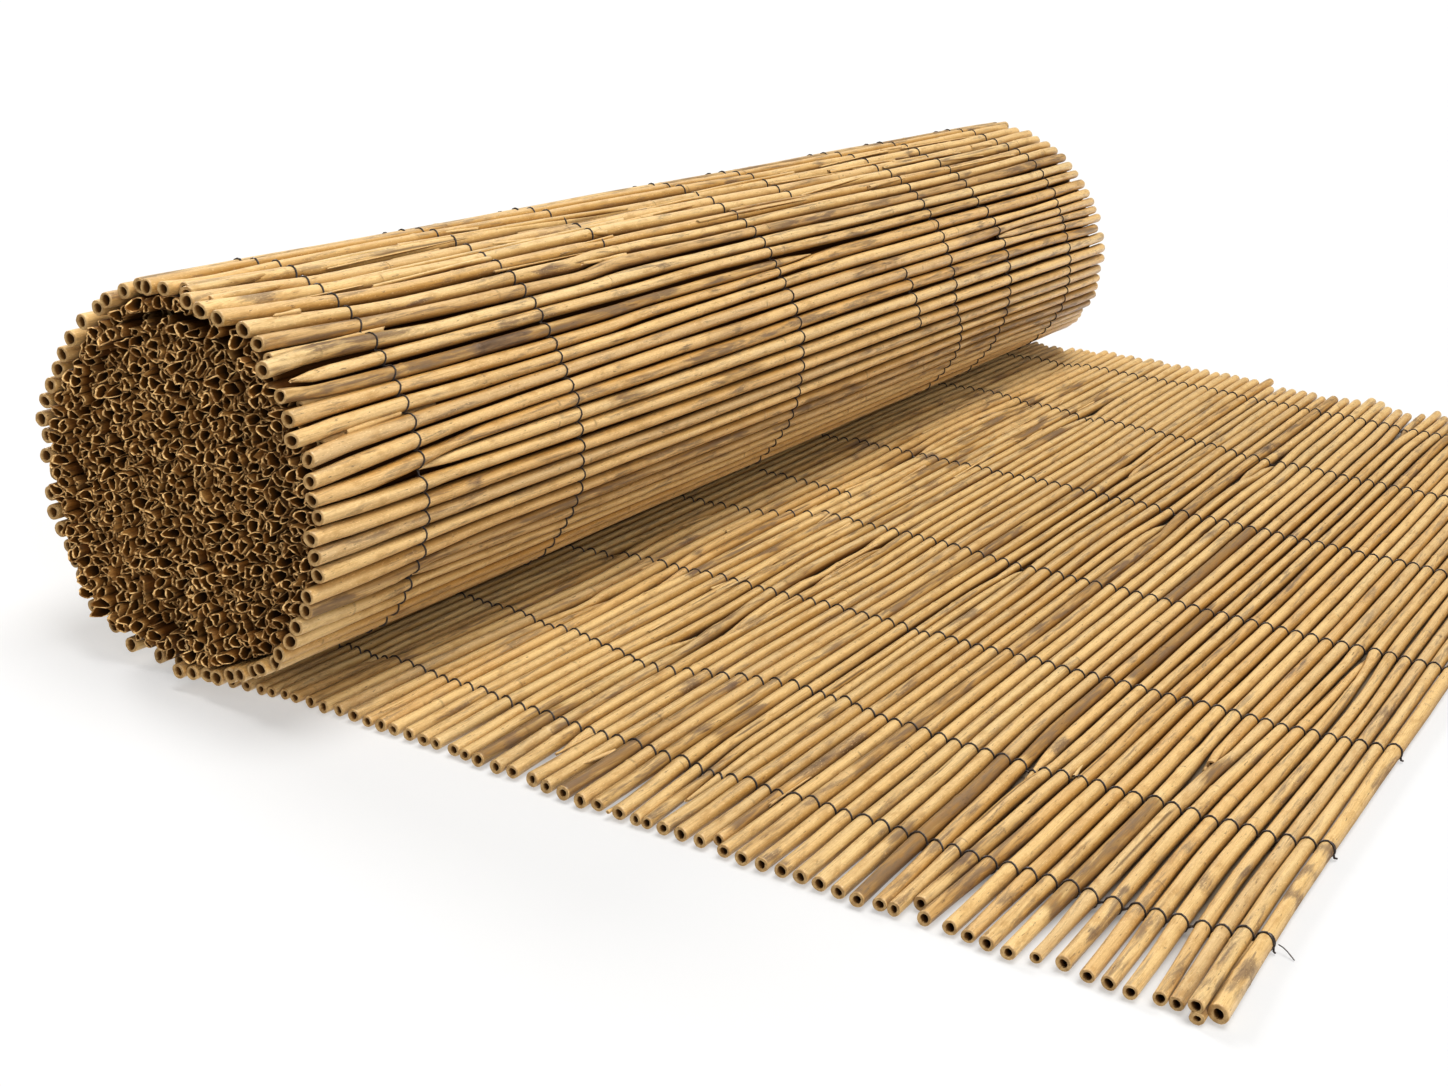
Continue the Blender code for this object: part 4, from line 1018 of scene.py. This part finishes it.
def taper(xs, near_x, far_x, pointed_near, pointed_far, rng):
    """Share of the full radius along each cane: pointed ends thin out over 2 to 4 cm."""
    n = len(near_x)
    near_len = rng.uniform(0.018, 0.034, (n, 1))
    far_len = rng.uniform(0.018, 0.034, (n, 1))
    share = np.ones_like(xs)
    share = np.where(pointed_near[:, None], 0.30 + 0.70 * step(xs - near_x[:, None], -0.002, near_len), share)
    return np.where(pointed_far[:, None], share * (0.14 + 0.86 * step(far_x[:, None] - xs, -0.004, far_len)), share)


def slit_marks(places, xs, rad, side_of, marks, sides):
    """Where a dark slit runs along a cane: one side of the ring, from one X to another."""
    slit = np.zeros(xs.shape + (sides,))
    for x0, x1, place in marks:
        middle = 0.0005 * (x0 + x1)
        i, at = nearest_cane(places, middle, place)
        j = side_of(i, middle, place - at)
        window = step(xs[i], x0 / 1000 - 0.004, x0 / 1000 + 0.004) * step(xs[i], x1 / 1000 + 0.004, x1 / 1000 - 0.004)
        slit[i, :, j % sides] = np.maximum(slit[i, :, j % sides], window)
    return slit


def small_canes(name, pieces, rng, material):
    """Splinters and stubs: (near (x, y, z), far (x, y, z), near radius, far radius, tint, sawn near end)."""
    n, m = len(pieces), 9
    t = np.linspace(0.0, 1.0, m)[None, :]
    near = np.array([p[0] for p in pieces]) / 1000.0
    far = np.array([p[1] for p in pieces]) / 1000.0
    r0 = np.array([p[2] for p in pieces])[:, None] / 1000.0
    r1 = np.array([p[3] for p in pieces])[:, None] / 1000.0
    xs = near[:, 0:1] * (1 - t) + far[:, 0:1] * t
    centre = near[:, None, 1:] * (1 - t)[..., None] + far[:, None, 1:] * t[..., None]
    rad = (r0 * (1 - t) + r1 * t) * (1.0 + 0.12 * np.sin(7.0 * t + rng.uniform(0, 6, (n, 1))))
    tint = np.array([p[4] for p in pieces])[:, None] + 0.0 * xs
    sawn = np.array([p[5] for p in pieces])
    zero = np.zeros_like(xs)
    return cane_mesh(name, xs, centre, rad, zero, tint, zero, np.zeros((n, m, 10)), sawn, np.zeros(n, bool), rng,
                     material, sides=10, slant=0.5, bore=0.42)


def build_loose():
    rng = np.random.default_rng(11)
    near_x = np.array([row[0] for row in LOOSE_CANES]) / 1000.0
    far_x = np.array([row[1] for row in LOOSE_CANES]) / 1000.0
    tip_r = np.array([row[2] for row in LOOSE_CANES]) / 1000.0
    n = len(LOOSE_CANES)
    stations = np.array(LOOSE_STATIONS) / 1000.0
    rows = [(row[0] / 1000.0, row[1] / 1000.0, row[3:]) for row in LOOSE_CANES]
    places = lay_out(rows, stations)
    places = relax(places, 6.2, 7.9, step(GRID, 0.035, 0.110), 0.960)
    radii = radii_from_gaps(places / 1000.0, tip_r, 0.0008, 0.0018, 0.0039)
    xs, ring, node_x = cane_stations(near_x, far_x, rng)
    y = np.empty_like(xs)
    rad = np.empty_like(xs)
    for i in range(n):
        here = ~np.isnan(places[i])
        y[i] = -np.interp(xs[i], GRID[here], places[i][here] / 1000.0)
        rad[i] = np.interp(xs[i], GRID, radii[i])
    pointed_near, pointed_far = near_x > 0.030, far_x < 0.910
    # The sawn near tips keep their own radius, then it follows the room there is.
    to_room = step(xs - near_x[:, None], 0.012, 0.060)
    tip = tip_r.copy()
    for i, row in enumerate(LOOSE_CANES):
        tip[i] = TIP_RADII.get(row[3], row[2]) / 1000.0
    rad = np.where(pointed_near[:, None], rad, tip[:, None] * (1 - to_room) + rad * to_room)
    rad = rad * (1.0 + wave(rng, xs, 0.030, 0.30)) + 0.00016 * ring
    full = rad.copy()
    rad = rad * taper(xs, near_x, far_x, pointed_near, pointed_far, rng)
    y = y + wave(rng, xs, 0.00030, 0.32) * step(xs - near_x[:, None], 0.0, 0.05)
    z = 0.6 * full + 0.4 * rad + 0.0011 + np.abs(wave(rng, xs, 0.00020, 0.5))
    # The last cane but one lies on a stub at its near end.
    last = n - 2
    z[last] += 0.0040 * step(xs[last], 0.095, 0.012)
    y[last] -= 0.0006 * step(xs[last], 0.060, 0.014)
    centre = np.stack([y, z], -1)
    tint, stain = shades(rng, xs, node_x)
    # The far third is a little paler and the near tips a little browner.
    tint = tint - 0.17 * step(xs, 0.55, 0.88) + 0.09 * step(xs, 0.18, 0.05)
    patches = [(x, x + rng.uniform(20, 110), rng.uniform(56, 165), rng.uniform(0.45, 0.95)) for x in rng.uniform(250, 850, 46)]
    blots = [(x, x + rng.uniform(5, 26), rng.uniform(56, 165), rng.uniform(0.6, 0.95)) for x in rng.uniform(250, 850, 34)]
    blots += [(x, x + rng.uniform(5, 22), rng.uniform(70, 495), rng.uniform(0.45, 0.75)) for x in rng.uniform(60, 960, 70)]
    paint(places, xs, tint, stain, patches + LOOSE_BROWN, blots + LOOSE_STAINS)

    def side_of(i, x, offset):
        # offset towards the viewer from the cane's middle, in millimetres, as seen on the plane z = 6 mm
        a = math.degrees(math.asin(float(np.clip(-offset / 3.4, -0.9, 0.9))))
        return int(round((90.0 - a) / (360.0 / SIDES)))

    slit = slit_marks(places, xs, rad, side_of, LOOSE_SLITS, SIDES)
    # The painted shade between the canes is strongest along the middle of their length and weaker at the near tips, the
    # far end, next to the roll and on the front canes.
    obj = cane_mesh("loose_canes", xs, centre, rad, ring, tint, stain, slit, ~pointed_near, ~pointed_far, rng, loose_mat,
                    shade_strength=(0.78 + 0.40 * step(xs, 0.14, 0.34) - 0.56 * step(xs, 0.58, 0.86)) * (1.0 - 0.30 * step(y, -0.170, -0.110))
                    * (1.0 - 0.42 * step(y, -0.400, -0.455)))
    canes = (xs, centre, rad)
    # Split pieces lie between the canes where the mat comes out from under the roll.
    slivers = []
    for _ in range(60):
        x0 = rng.uniform(260, 840)
        size = rng.uniform(14, 64)
        y0 = -rng.uniform(62, 150)
        y1 = y0 + rng.normal(0.0, 2.4)
        r0, r1 = rng.uniform(0.35, 1.15, 2)
        slivers.append(((x0, y0, rng.uniform(6.2, 7.4)), (x0 + size, y1, rng.uniform(5.8, 7.3)), r0, r1,
                        rng.uniform(-0.2, 1.0), False))
    splinters = small_canes("loose_splinters", [
        ((11.2, -495.2, 3.2), (82, -496.4, 2.9), 3.2, 1.6, 0.60, True),
        ((37, -203.4, 6.6), (62, -208.6, 6.9), 0.5, 1.3, 0.05, False),
        ((14, -236.4, 4.0), (40, -236.9, 4.6), 0.9, 0.5, 0.0, True),
        ((44, -188.6, 5.8), (78, -189.6, 5.4), 0.8, 0.5, 0.1, False),
        ((196, -383.6, 6.4), (172, -386.4, 6.1), 0.5, 0.9, 0.3, False),
        ((225, -433.4, 6.2), (262, -431.2, 5.5), 1.9, 1.3, 0.05, True),
        ((30, -99.4, 6.0), (90, -98.6, 5.4), 0.6, 1.0, 0.2, False),
        ((240, -140.0, 6.6), (196, -141.4, 6.4), 0.9, 0.6, 0.15, False),
        ((352, -170.8, 6.4), (404, -171.4, 6.3), 0.5, 0.7, 0.2, False),
        ((60, -289.8, 6.0), (96, -290.4, 5.6), 0.7, 0.4, 0.3, False),
        ((430, -303.4, 6.6), (470, -301.6, 6.2), 0.9, 1.4, 0.1, False),
        ((700, -158.6, 6.8), (742, -157.4, 6.6), 0.7, 0.5, 0.2, False),
    ] + slivers, rng, loose_mat)

    def outward_of(place):
        return np.tile([0.0, 1.0], (len(place), 1))

    paths = []
    for row in LOOSE_ROWS:
        found = row_canes(row, places, canes)
        # places run towards the viewer, so the row does too
        paths += binding_row(found, outward_of, rng)
        if row[-1][0] < 500:
            continue
        _, x, c, r = found[-1]
        # The wire closes round the last cane, and its cut end stands off.
        paths.append(np.array([(x + 0.0004 * math.sin(3 * a), c[0] - (r + 0.0003) * math.sin(a), c[1] + (r + 0.0003) * math.cos(a))
                               for a in np.linspace(0.2, 2.9, 12)]))
        reach = rng.uniform(0.0010, 0.0022)
        paths.append(np.array([(x + 0.0002, c[0] - r * 1.02, 0.0026), (x - 0.0006, c[0] - r - 0.4 * reach, 0.0017),
                               (x + rng.uniform(-0.002, 0.002), c[0] - r - reach, 0.0009)]))
    # One loose end springs away from the mat over the floor.
    paths.append(np.array([(0.0832, -0.5052, 0.0034), (0.0826, -0.5072, 0.0031), (0.0818, -0.5092, 0.0024),
                           (0.0808, -0.5112, 0.0014), (0.0800, -0.5128, 0.0006)]))
    wires = wire_tubes("loose_wires", paths, [LOOSE_WIRE_R] * (len(paths) - 1) + [0.00026], wire_mat)
    return obj, wires, splinters


def build_roll():
    rng = np.random.default_rng(23)
    stations = np.array(ROLL_STATIONS) / 1000.0
    shown = [list(row) for row in SHOWN_CANES]
    first_far, last_far = shown[0][-1], shown[-1][-1]
    back = np.array(BACK_ANGLES)
    under = np.array(UNDER_ANGLES)
    back_far = np.linspace(back[0], first_far - 5.3, len(back))
    under_far = np.linspace(last_far + 5.0, under[-1], len(under))
    rows, nominal = [], []

    def hidden(near_angle, far_angle):
        share = step(stations, 0.05, 0.75)
        rows.append([None, None, list(near_angle * (1 - share) + far_angle * share)])
        nominal.append(3.8)

    for a, b in zip(back, back_far):
        hidden(a, b)
    for row in shown:
        rows.append([row[0], row[1], row[3:]])
        nominal.append(row[2])
    for a, b in zip(under, under_far):
        hidden(a, b)
    n = len(rows)
    nominal = np.array(nominal) / 1000.0
    near_x, far_x = np.empty(n), np.empty(n)
    pointed_near, pointed_far = np.zeros(n, bool), np.zeros(n, bool)
    jitter_near = np.clip(rng.normal(0.0008, 0.0022, n), -0.0030, 0.0060)
    jitter_far = np.clip(rng.normal(0.0, 0.0025, n), -0.005, 0.005)
    for i, (near, far, values) in enumerate(rows):
        known = [v for v in values if v is not None]
        _, _, edge_near, _ = wrap_at(np.array([known[0]]))
        _, _, _, edge_far = wrap_at(np.array([known[-1]]))
        pointed_near[i] = near is not None
        near_x[i] = near / 1000.0 if near is not None else edge_near[0] + jitter_near[i]
        # Low at the back the ends stick out less.
        if near is None and known[0] < 95.0:
            near_x[i] = edge_near[0] + max(jitter_near[i], -0.0005) + 0.0032
        far_x[i] = far / 1000.0 if far is not None else edge_far[0] + jitter_far[i]
        pointed_far[i] = far is not None and far < 900
    places = lay_out([(near_x[i], far_x[i], rows[i][2]) for i in range(n)], stations)
    places = relax(places, 3.9, 6.1, step(GRID, 0.040, 0.110), 0.925)
    arc = 0.0930 * math.pi / 180.0
    radii = radii_from_gaps(places * arc, nominal, 0.0009, 0.0019, 0.0039, closed=360.0 * arc)
    xs, ring, node_x = cane_stations(near_x, far_x, rng)
    angle = np.empty_like(xs)
    rad = np.empty_like(xs)
    for i in range(n):
        here = ~np.isnan(places[i])
        angle[i] = np.interp(xs[i], GRID[here], places[i][here])
        rad[i] = np.interp(xs[i], GRID, radii[i])
    top = 1.0 + 1.6 * np.exp(-((angle - 192.0) / 14.0) ** 2)
    angle = angle + wave(rng, xs, 0.20, 0.33) * top * step(xs - near_x[:, None], 0.0, 0.05)
    angle = np.clip(angle, 1.5, 358.5)
    centre, outward, _, _ = wrap_at(angle)
    rad = rad * (1.0 + wave(rng, xs, 0.032, 0.30)) + 0.00018 * ring
    full = rad.copy()
    rad = rad * taper(xs, near_x, far_x, pointed_near, pointed_far, rng)
    # Thin canes lie deeper, so the wrap has one outer face.
    lift = (full - ROLL_R) * 0.55 - (full - rad) * 0.3 + wave(rng, xs, 0.0003, 0.5) * top
    centre = centre + outward * lift[..., None]
    centre[..., 1] = np.maximum(centre[..., 1], rad + 0.0002)
    tint, stain = shades(rng, xs, node_x)
    patches = [(x, x + rng.uniform(20, 100), rng.uniform(178, 300), rng.uniform(0.42, 0.75)) for x in rng.uniform(20, 860, 36)]
    blots = [(x, x + rng.uniform(5, 22), rng.uniform(178, 300), rng.uniform(0.45, 0.8)) for x in rng.uniform(20, 940, 60)]
    paint(places, xs, tint, stain, patches + ROLL_BROWN, blots + ROLL_STAINS)
    middles = [np.array([np.interp(x, xs[i], angle[i]) for x in (0.1, 0.5, 0.9)]).mean() for i in range(n)]

    def side_of(i, x, offset):
        out = wrap_at(np.array([middles[i]]))[1][0]
        base = math.degrees(math.atan2(out[1], out[0]))
        a = math.degrees(math.asin(float(np.clip(offset * 1.62 / 3.6, -0.9, 0.9))))
        return int(round((base - a) / (360.0 / SIDES)))

    slit = slit_marks(places, xs, rad, side_of, ROLL_SLITS, SIDES)
    # The painted shade between the roll's canes is a little stronger over the top and much stronger low on the side
    # over the loose end, less so towards the far end.
    obj = cane_mesh("outer_canes", xs, centre, rad, ring, tint, stain, slit, ~pointed_near, ~pointed_far, rng, roll_mat,
                    slant=0.2, bore=0.64, outward=outward, shade_strength=0.82 + 0.08 * np.exp(-((angle - 188.0) / 26.0) ** 2)
                    + 0.36 * step(angle, 290.0, 318.0) * (1.0 - 0.60 * step(xs, 0.35, 0.75)))
    canes = (xs, centre, rad)

    def on_roll(x, a, lift_mm):
        c, o, _, _ = wrap_at(np.array([a]))
        p = (c[0] + o[0] * lift_mm / 1000.0) * 1000.0
        return (x, p[0], p[1])

    # Split pieces on top of the roll.
    slivers = []
    for _ in range(40):
        x0 = rng.uniform(40, 820)
        size = rng.uniform(30, 140)
        a0 = rng.uniform(180, 208)
        r0, r1 = rng.uniform(0.4, 1.25, 2)
        slivers.append((on_roll(x0, a0, rng.uniform(1.6, 3.4)), on_roll(x0 + size, a0 + rng.normal(0.0, 1.3), rng.uniform(1.4, 3.2)),
                        r0, r1, rng.uniform(-0.1, 0.7), False))
    chips = small_canes("roll_splinters", [
        (on_roll(4, 184.6, 0.6), on_roll(150, 185.2, 2.6), 2.6, 1.9, 0.45, True),
        (on_roll(8, 191.2, 0.8), on_roll(205, 191.6, 2.2), 2.3, 1.3, 0.30, True),
        (on_roll(60, 197.4, 2.2), on_roll(330, 195.4, 2.0), 1.2, 1.9, 0.25, False),
        (on_roll(150, 184.6, 3.0), on_roll(352, 187.8, 2.4), 1.7, 2.0, 0.20, False),
        (on_roll(210, 193.4, 2.6), on_roll(300, 200.6, 2.6), 1.0, 1.7, 0.30, False),
        (on_roll(96, 202.6, 2.4), on_roll(190, 201.4, 2.6), 0.9, 1.6, 0.40, False),
        (on_roll(21, 206.8, 4.0), on_roll(37, 207.2, 4.2), 0.7, 1.1, 0.0, False),
        (on_roll(24, 243.6, 0.2), on_roll(62, 242.8, 0.4), 1.8, 1.5, 0.05, True),
        (on_roll(828, 194.6, 2.6), on_roll(870, 195.0, 2.2), 1.8, 1.2, 0.1, True),
        (on_roll(430, 187.0, 3.0), on_roll(560, 186.4, 2.6), 1.2, 1.8, 0.25, False),
        (on_roll(600, 190.6, 2.6), on_roll(700, 192.0, 2.6), 1.5, 1.0, 0.35, False),
        (on_roll(250, 212.6, 2.6), on_roll(292, 213.2, 2.2), 0.8, 1.5, 0.1, False),
        (on_roll(6, 199.0, -2.5), on_roll(70, 197.6, -1.0), 2.4, 2.2, 0.5, True),
        (on_roll(7, 188.9, -2.8), on_roll(70, 189.9, -1.2), 2.5, 2.2, 0.5, True),
        (on_roll(4, 217.4, -2.2), on_roll(80, 217.6, -1.6), 2.4, 2.0, 0.5, True),
        (on_roll(10, 244.6, -3.0), on_roll(90, 243.6, -2.4), 2.6, 2.0, 0.6, True),
        (on_roll(8, 232.6, -3.4), on_roll(80, 233.0, -2.6), 2.4, 2.0, 0.6, True),
    ] + slivers, rng, roll_mat)

    def outward_of(place):
        return wrap_at(np.asarray(place, float))[1]

    paths = []
    for row in ROLL_ROWS:
        found = row_canes(row, places, canes)
        paths += binding_row(found, outward_of, rng)
    wires = wire_tubes("roll_wires", paths, [ROLL_WIRE_R] * len(paths), wire_mat)
    return obj, wires, chips


loose, loose_wires, loose_splinters = build_loose()
outer, roll_wires, roll_splinters = build_roll()
core = build_core(np.random.default_rng(5), core_mat)

# -------------------------------------------------------- floor, light, view
floor_mesh = bpy.data.meshes.new("floor")
floor_mesh.from_pydata([(-30, -30, 0), (30, -30, 0), (30, 30, 0), (-30, 30, 0)], [], [(0, 1, 2, 3)])
floor = bpy.data.objects.new("floor", floor_mesh)
bpy.context.scene.collection.objects.link(floor)
floor_mat, _, _, floor_shader = new_material("floor")
floor_shader.inputs["Base Color"].default_value = (0.315, 0.315, 0.315, 1.0)
floor_shader.inputs["Roughness"].default_value = 0.9
floor_shader.inputs["Specular IOR Level"].default_value = 0.1
# Painted light: outside the mat the floor glows, so the shadows on it stay pale; under the mat it does not glow.
floor_nodes, floor_links = floor_mat.node_tree.nodes, floor_mat.node_tree.links
floor_graph = Graph(floor_nodes, floor_links)
split = floor_nodes.new("ShaderNodeSeparateXYZ")
floor_links.new(floor_graph.place((1.0, 1.0, 1.0)), split.inputs[0])
out_x = floor_graph.ramp(floor_graph.math("ABSOLUTE", floor_graph.math("SUBTRACT", split.outputs[0], 0.0099)), 0.400, 0.490)
out_y = floor_graph.ramp(floor_graph.math("ABSOLUTE", floor_graph.math("SUBTRACT", split.outputs[1], -0.0494)), 0.234, 0.252)
painted_floor_glow = floor_graph.math("MULTIPLY", floor_graph.math("MAXIMUM", out_x, out_y), 0.515)
floor_shader.inputs["Emission Color"].default_value = (1.0, 0.995, 0.99, 1.0)
floor_links.new(painted_floor_glow, floor_shader.inputs["Emission Strength"])
# Under the mat the floor takes a warmer colour: painted bounce light from the canes.
floor_links.new(floor_graph.mix(floor_graph.math("MAXIMUM", out_x, out_y), (0.330, 0.270, 0.195, 1.0), (0.315, 0.315, 0.315, 1.0)),
                floor_shader.inputs["Base Color"])
floor_mesh.materials.append(floor_mat)

world = bpy.data.worlds.new("studio")
bpy.context.scene.world = world
world.use_nodes = True
world.node_tree.nodes["Background"].inputs["Color"].default_value = (1.0, 1.0, 1.0, 1.0)
world.node_tree.nodes["Background"].inputs["Strength"].default_value = 0.16


def sun_light(name, towards, strength, spread, colour=(1.0, 1.0, 1.0)):
    """A distant soft box: the light comes from towards, over a disc of spread degrees."""
    data = bpy.data.lights.new(name, "SUN")
    data.energy = strength
    data.angle = math.radians(spread)
    data.color = colour
    obj = bpy.data.objects.new(name, data)
    obj.rotation_euler = Vector([-c for c in towards]).to_track_quat("-Z", "Y").to_euler()
    obj.location = Vector(towards) * 3.0
    bpy.context.scene.collection.objects.link(obj)
    return obj


sun_light("key", (0.04, -0.18, 1.0), 3.02, 36.0, (1.0, 0.995, 0.985))
sun_light("front_fill", (-0.60, -0.76, 0.46), 1.68, 40.0)
sun_light("side_fill", (0.28, 0.90, 0.55), 1.60, 17.0)
sun_light("back_fill", (0.62, 0.55, 0.50), 0.22, 50.0)

FOCAL_PX = 1973.15
AZIMUTH, ELEVATION, TILT = map(math.radians, (-60.7856, 18.9511, 4.0578))
forward = Vector((-math.sin(AZIMUTH) * math.cos(ELEVATION), math.cos(AZIMUTH) * math.cos(ELEVATION), -math.sin(ELEVATION)))
right = Vector((math.cos(AZIMUTH), math.sin(AZIMUTH), 0.0))
up = right.cross(forward)
right, up = (math.cos(TILT) * right + math.sin(TILT) * up, -math.sin(TILT) * right + math.cos(TILT) * up)
camera_data = bpy.data.cameras.new("camera")
camera_data.sensor_fit = "HORIZONTAL"
camera_data.sensor_width = 36.0
camera_data.lens = FOCAL_PX / 1448.0 * 36.0
camera_data.clip_end = 200.0
camera = bpy.data.objects.new("camera", camera_data)
eye = Vector((-0.62380, -0.64034, 0.38710)) + Vector(SHIFT)
camera.matrix_world = Matrix((
    (right.x, up.x, -forward.x, eye.x),
    (right.y, up.y, -forward.y, eye.y),
    (right.z, up.z, -forward.z, eye.z),
    (0.0, 0.0, 0.0, 1.0)))
bpy.context.scene.collection.objects.link(camera)
bpy.context.scene.camera = camera
bpy.context.scene.view_settings.view_transform = "Standard"
bpy.context.scene.view_settings.gamma = 0.80

# --------------------------------------------------------------------- ties
for piece in (loose, loose_wires, loose_splinters, outer, roll_wires, roll_splinters, *core):
    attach(piece, "root")
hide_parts("mat_loose_end")
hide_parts("mat_roll")
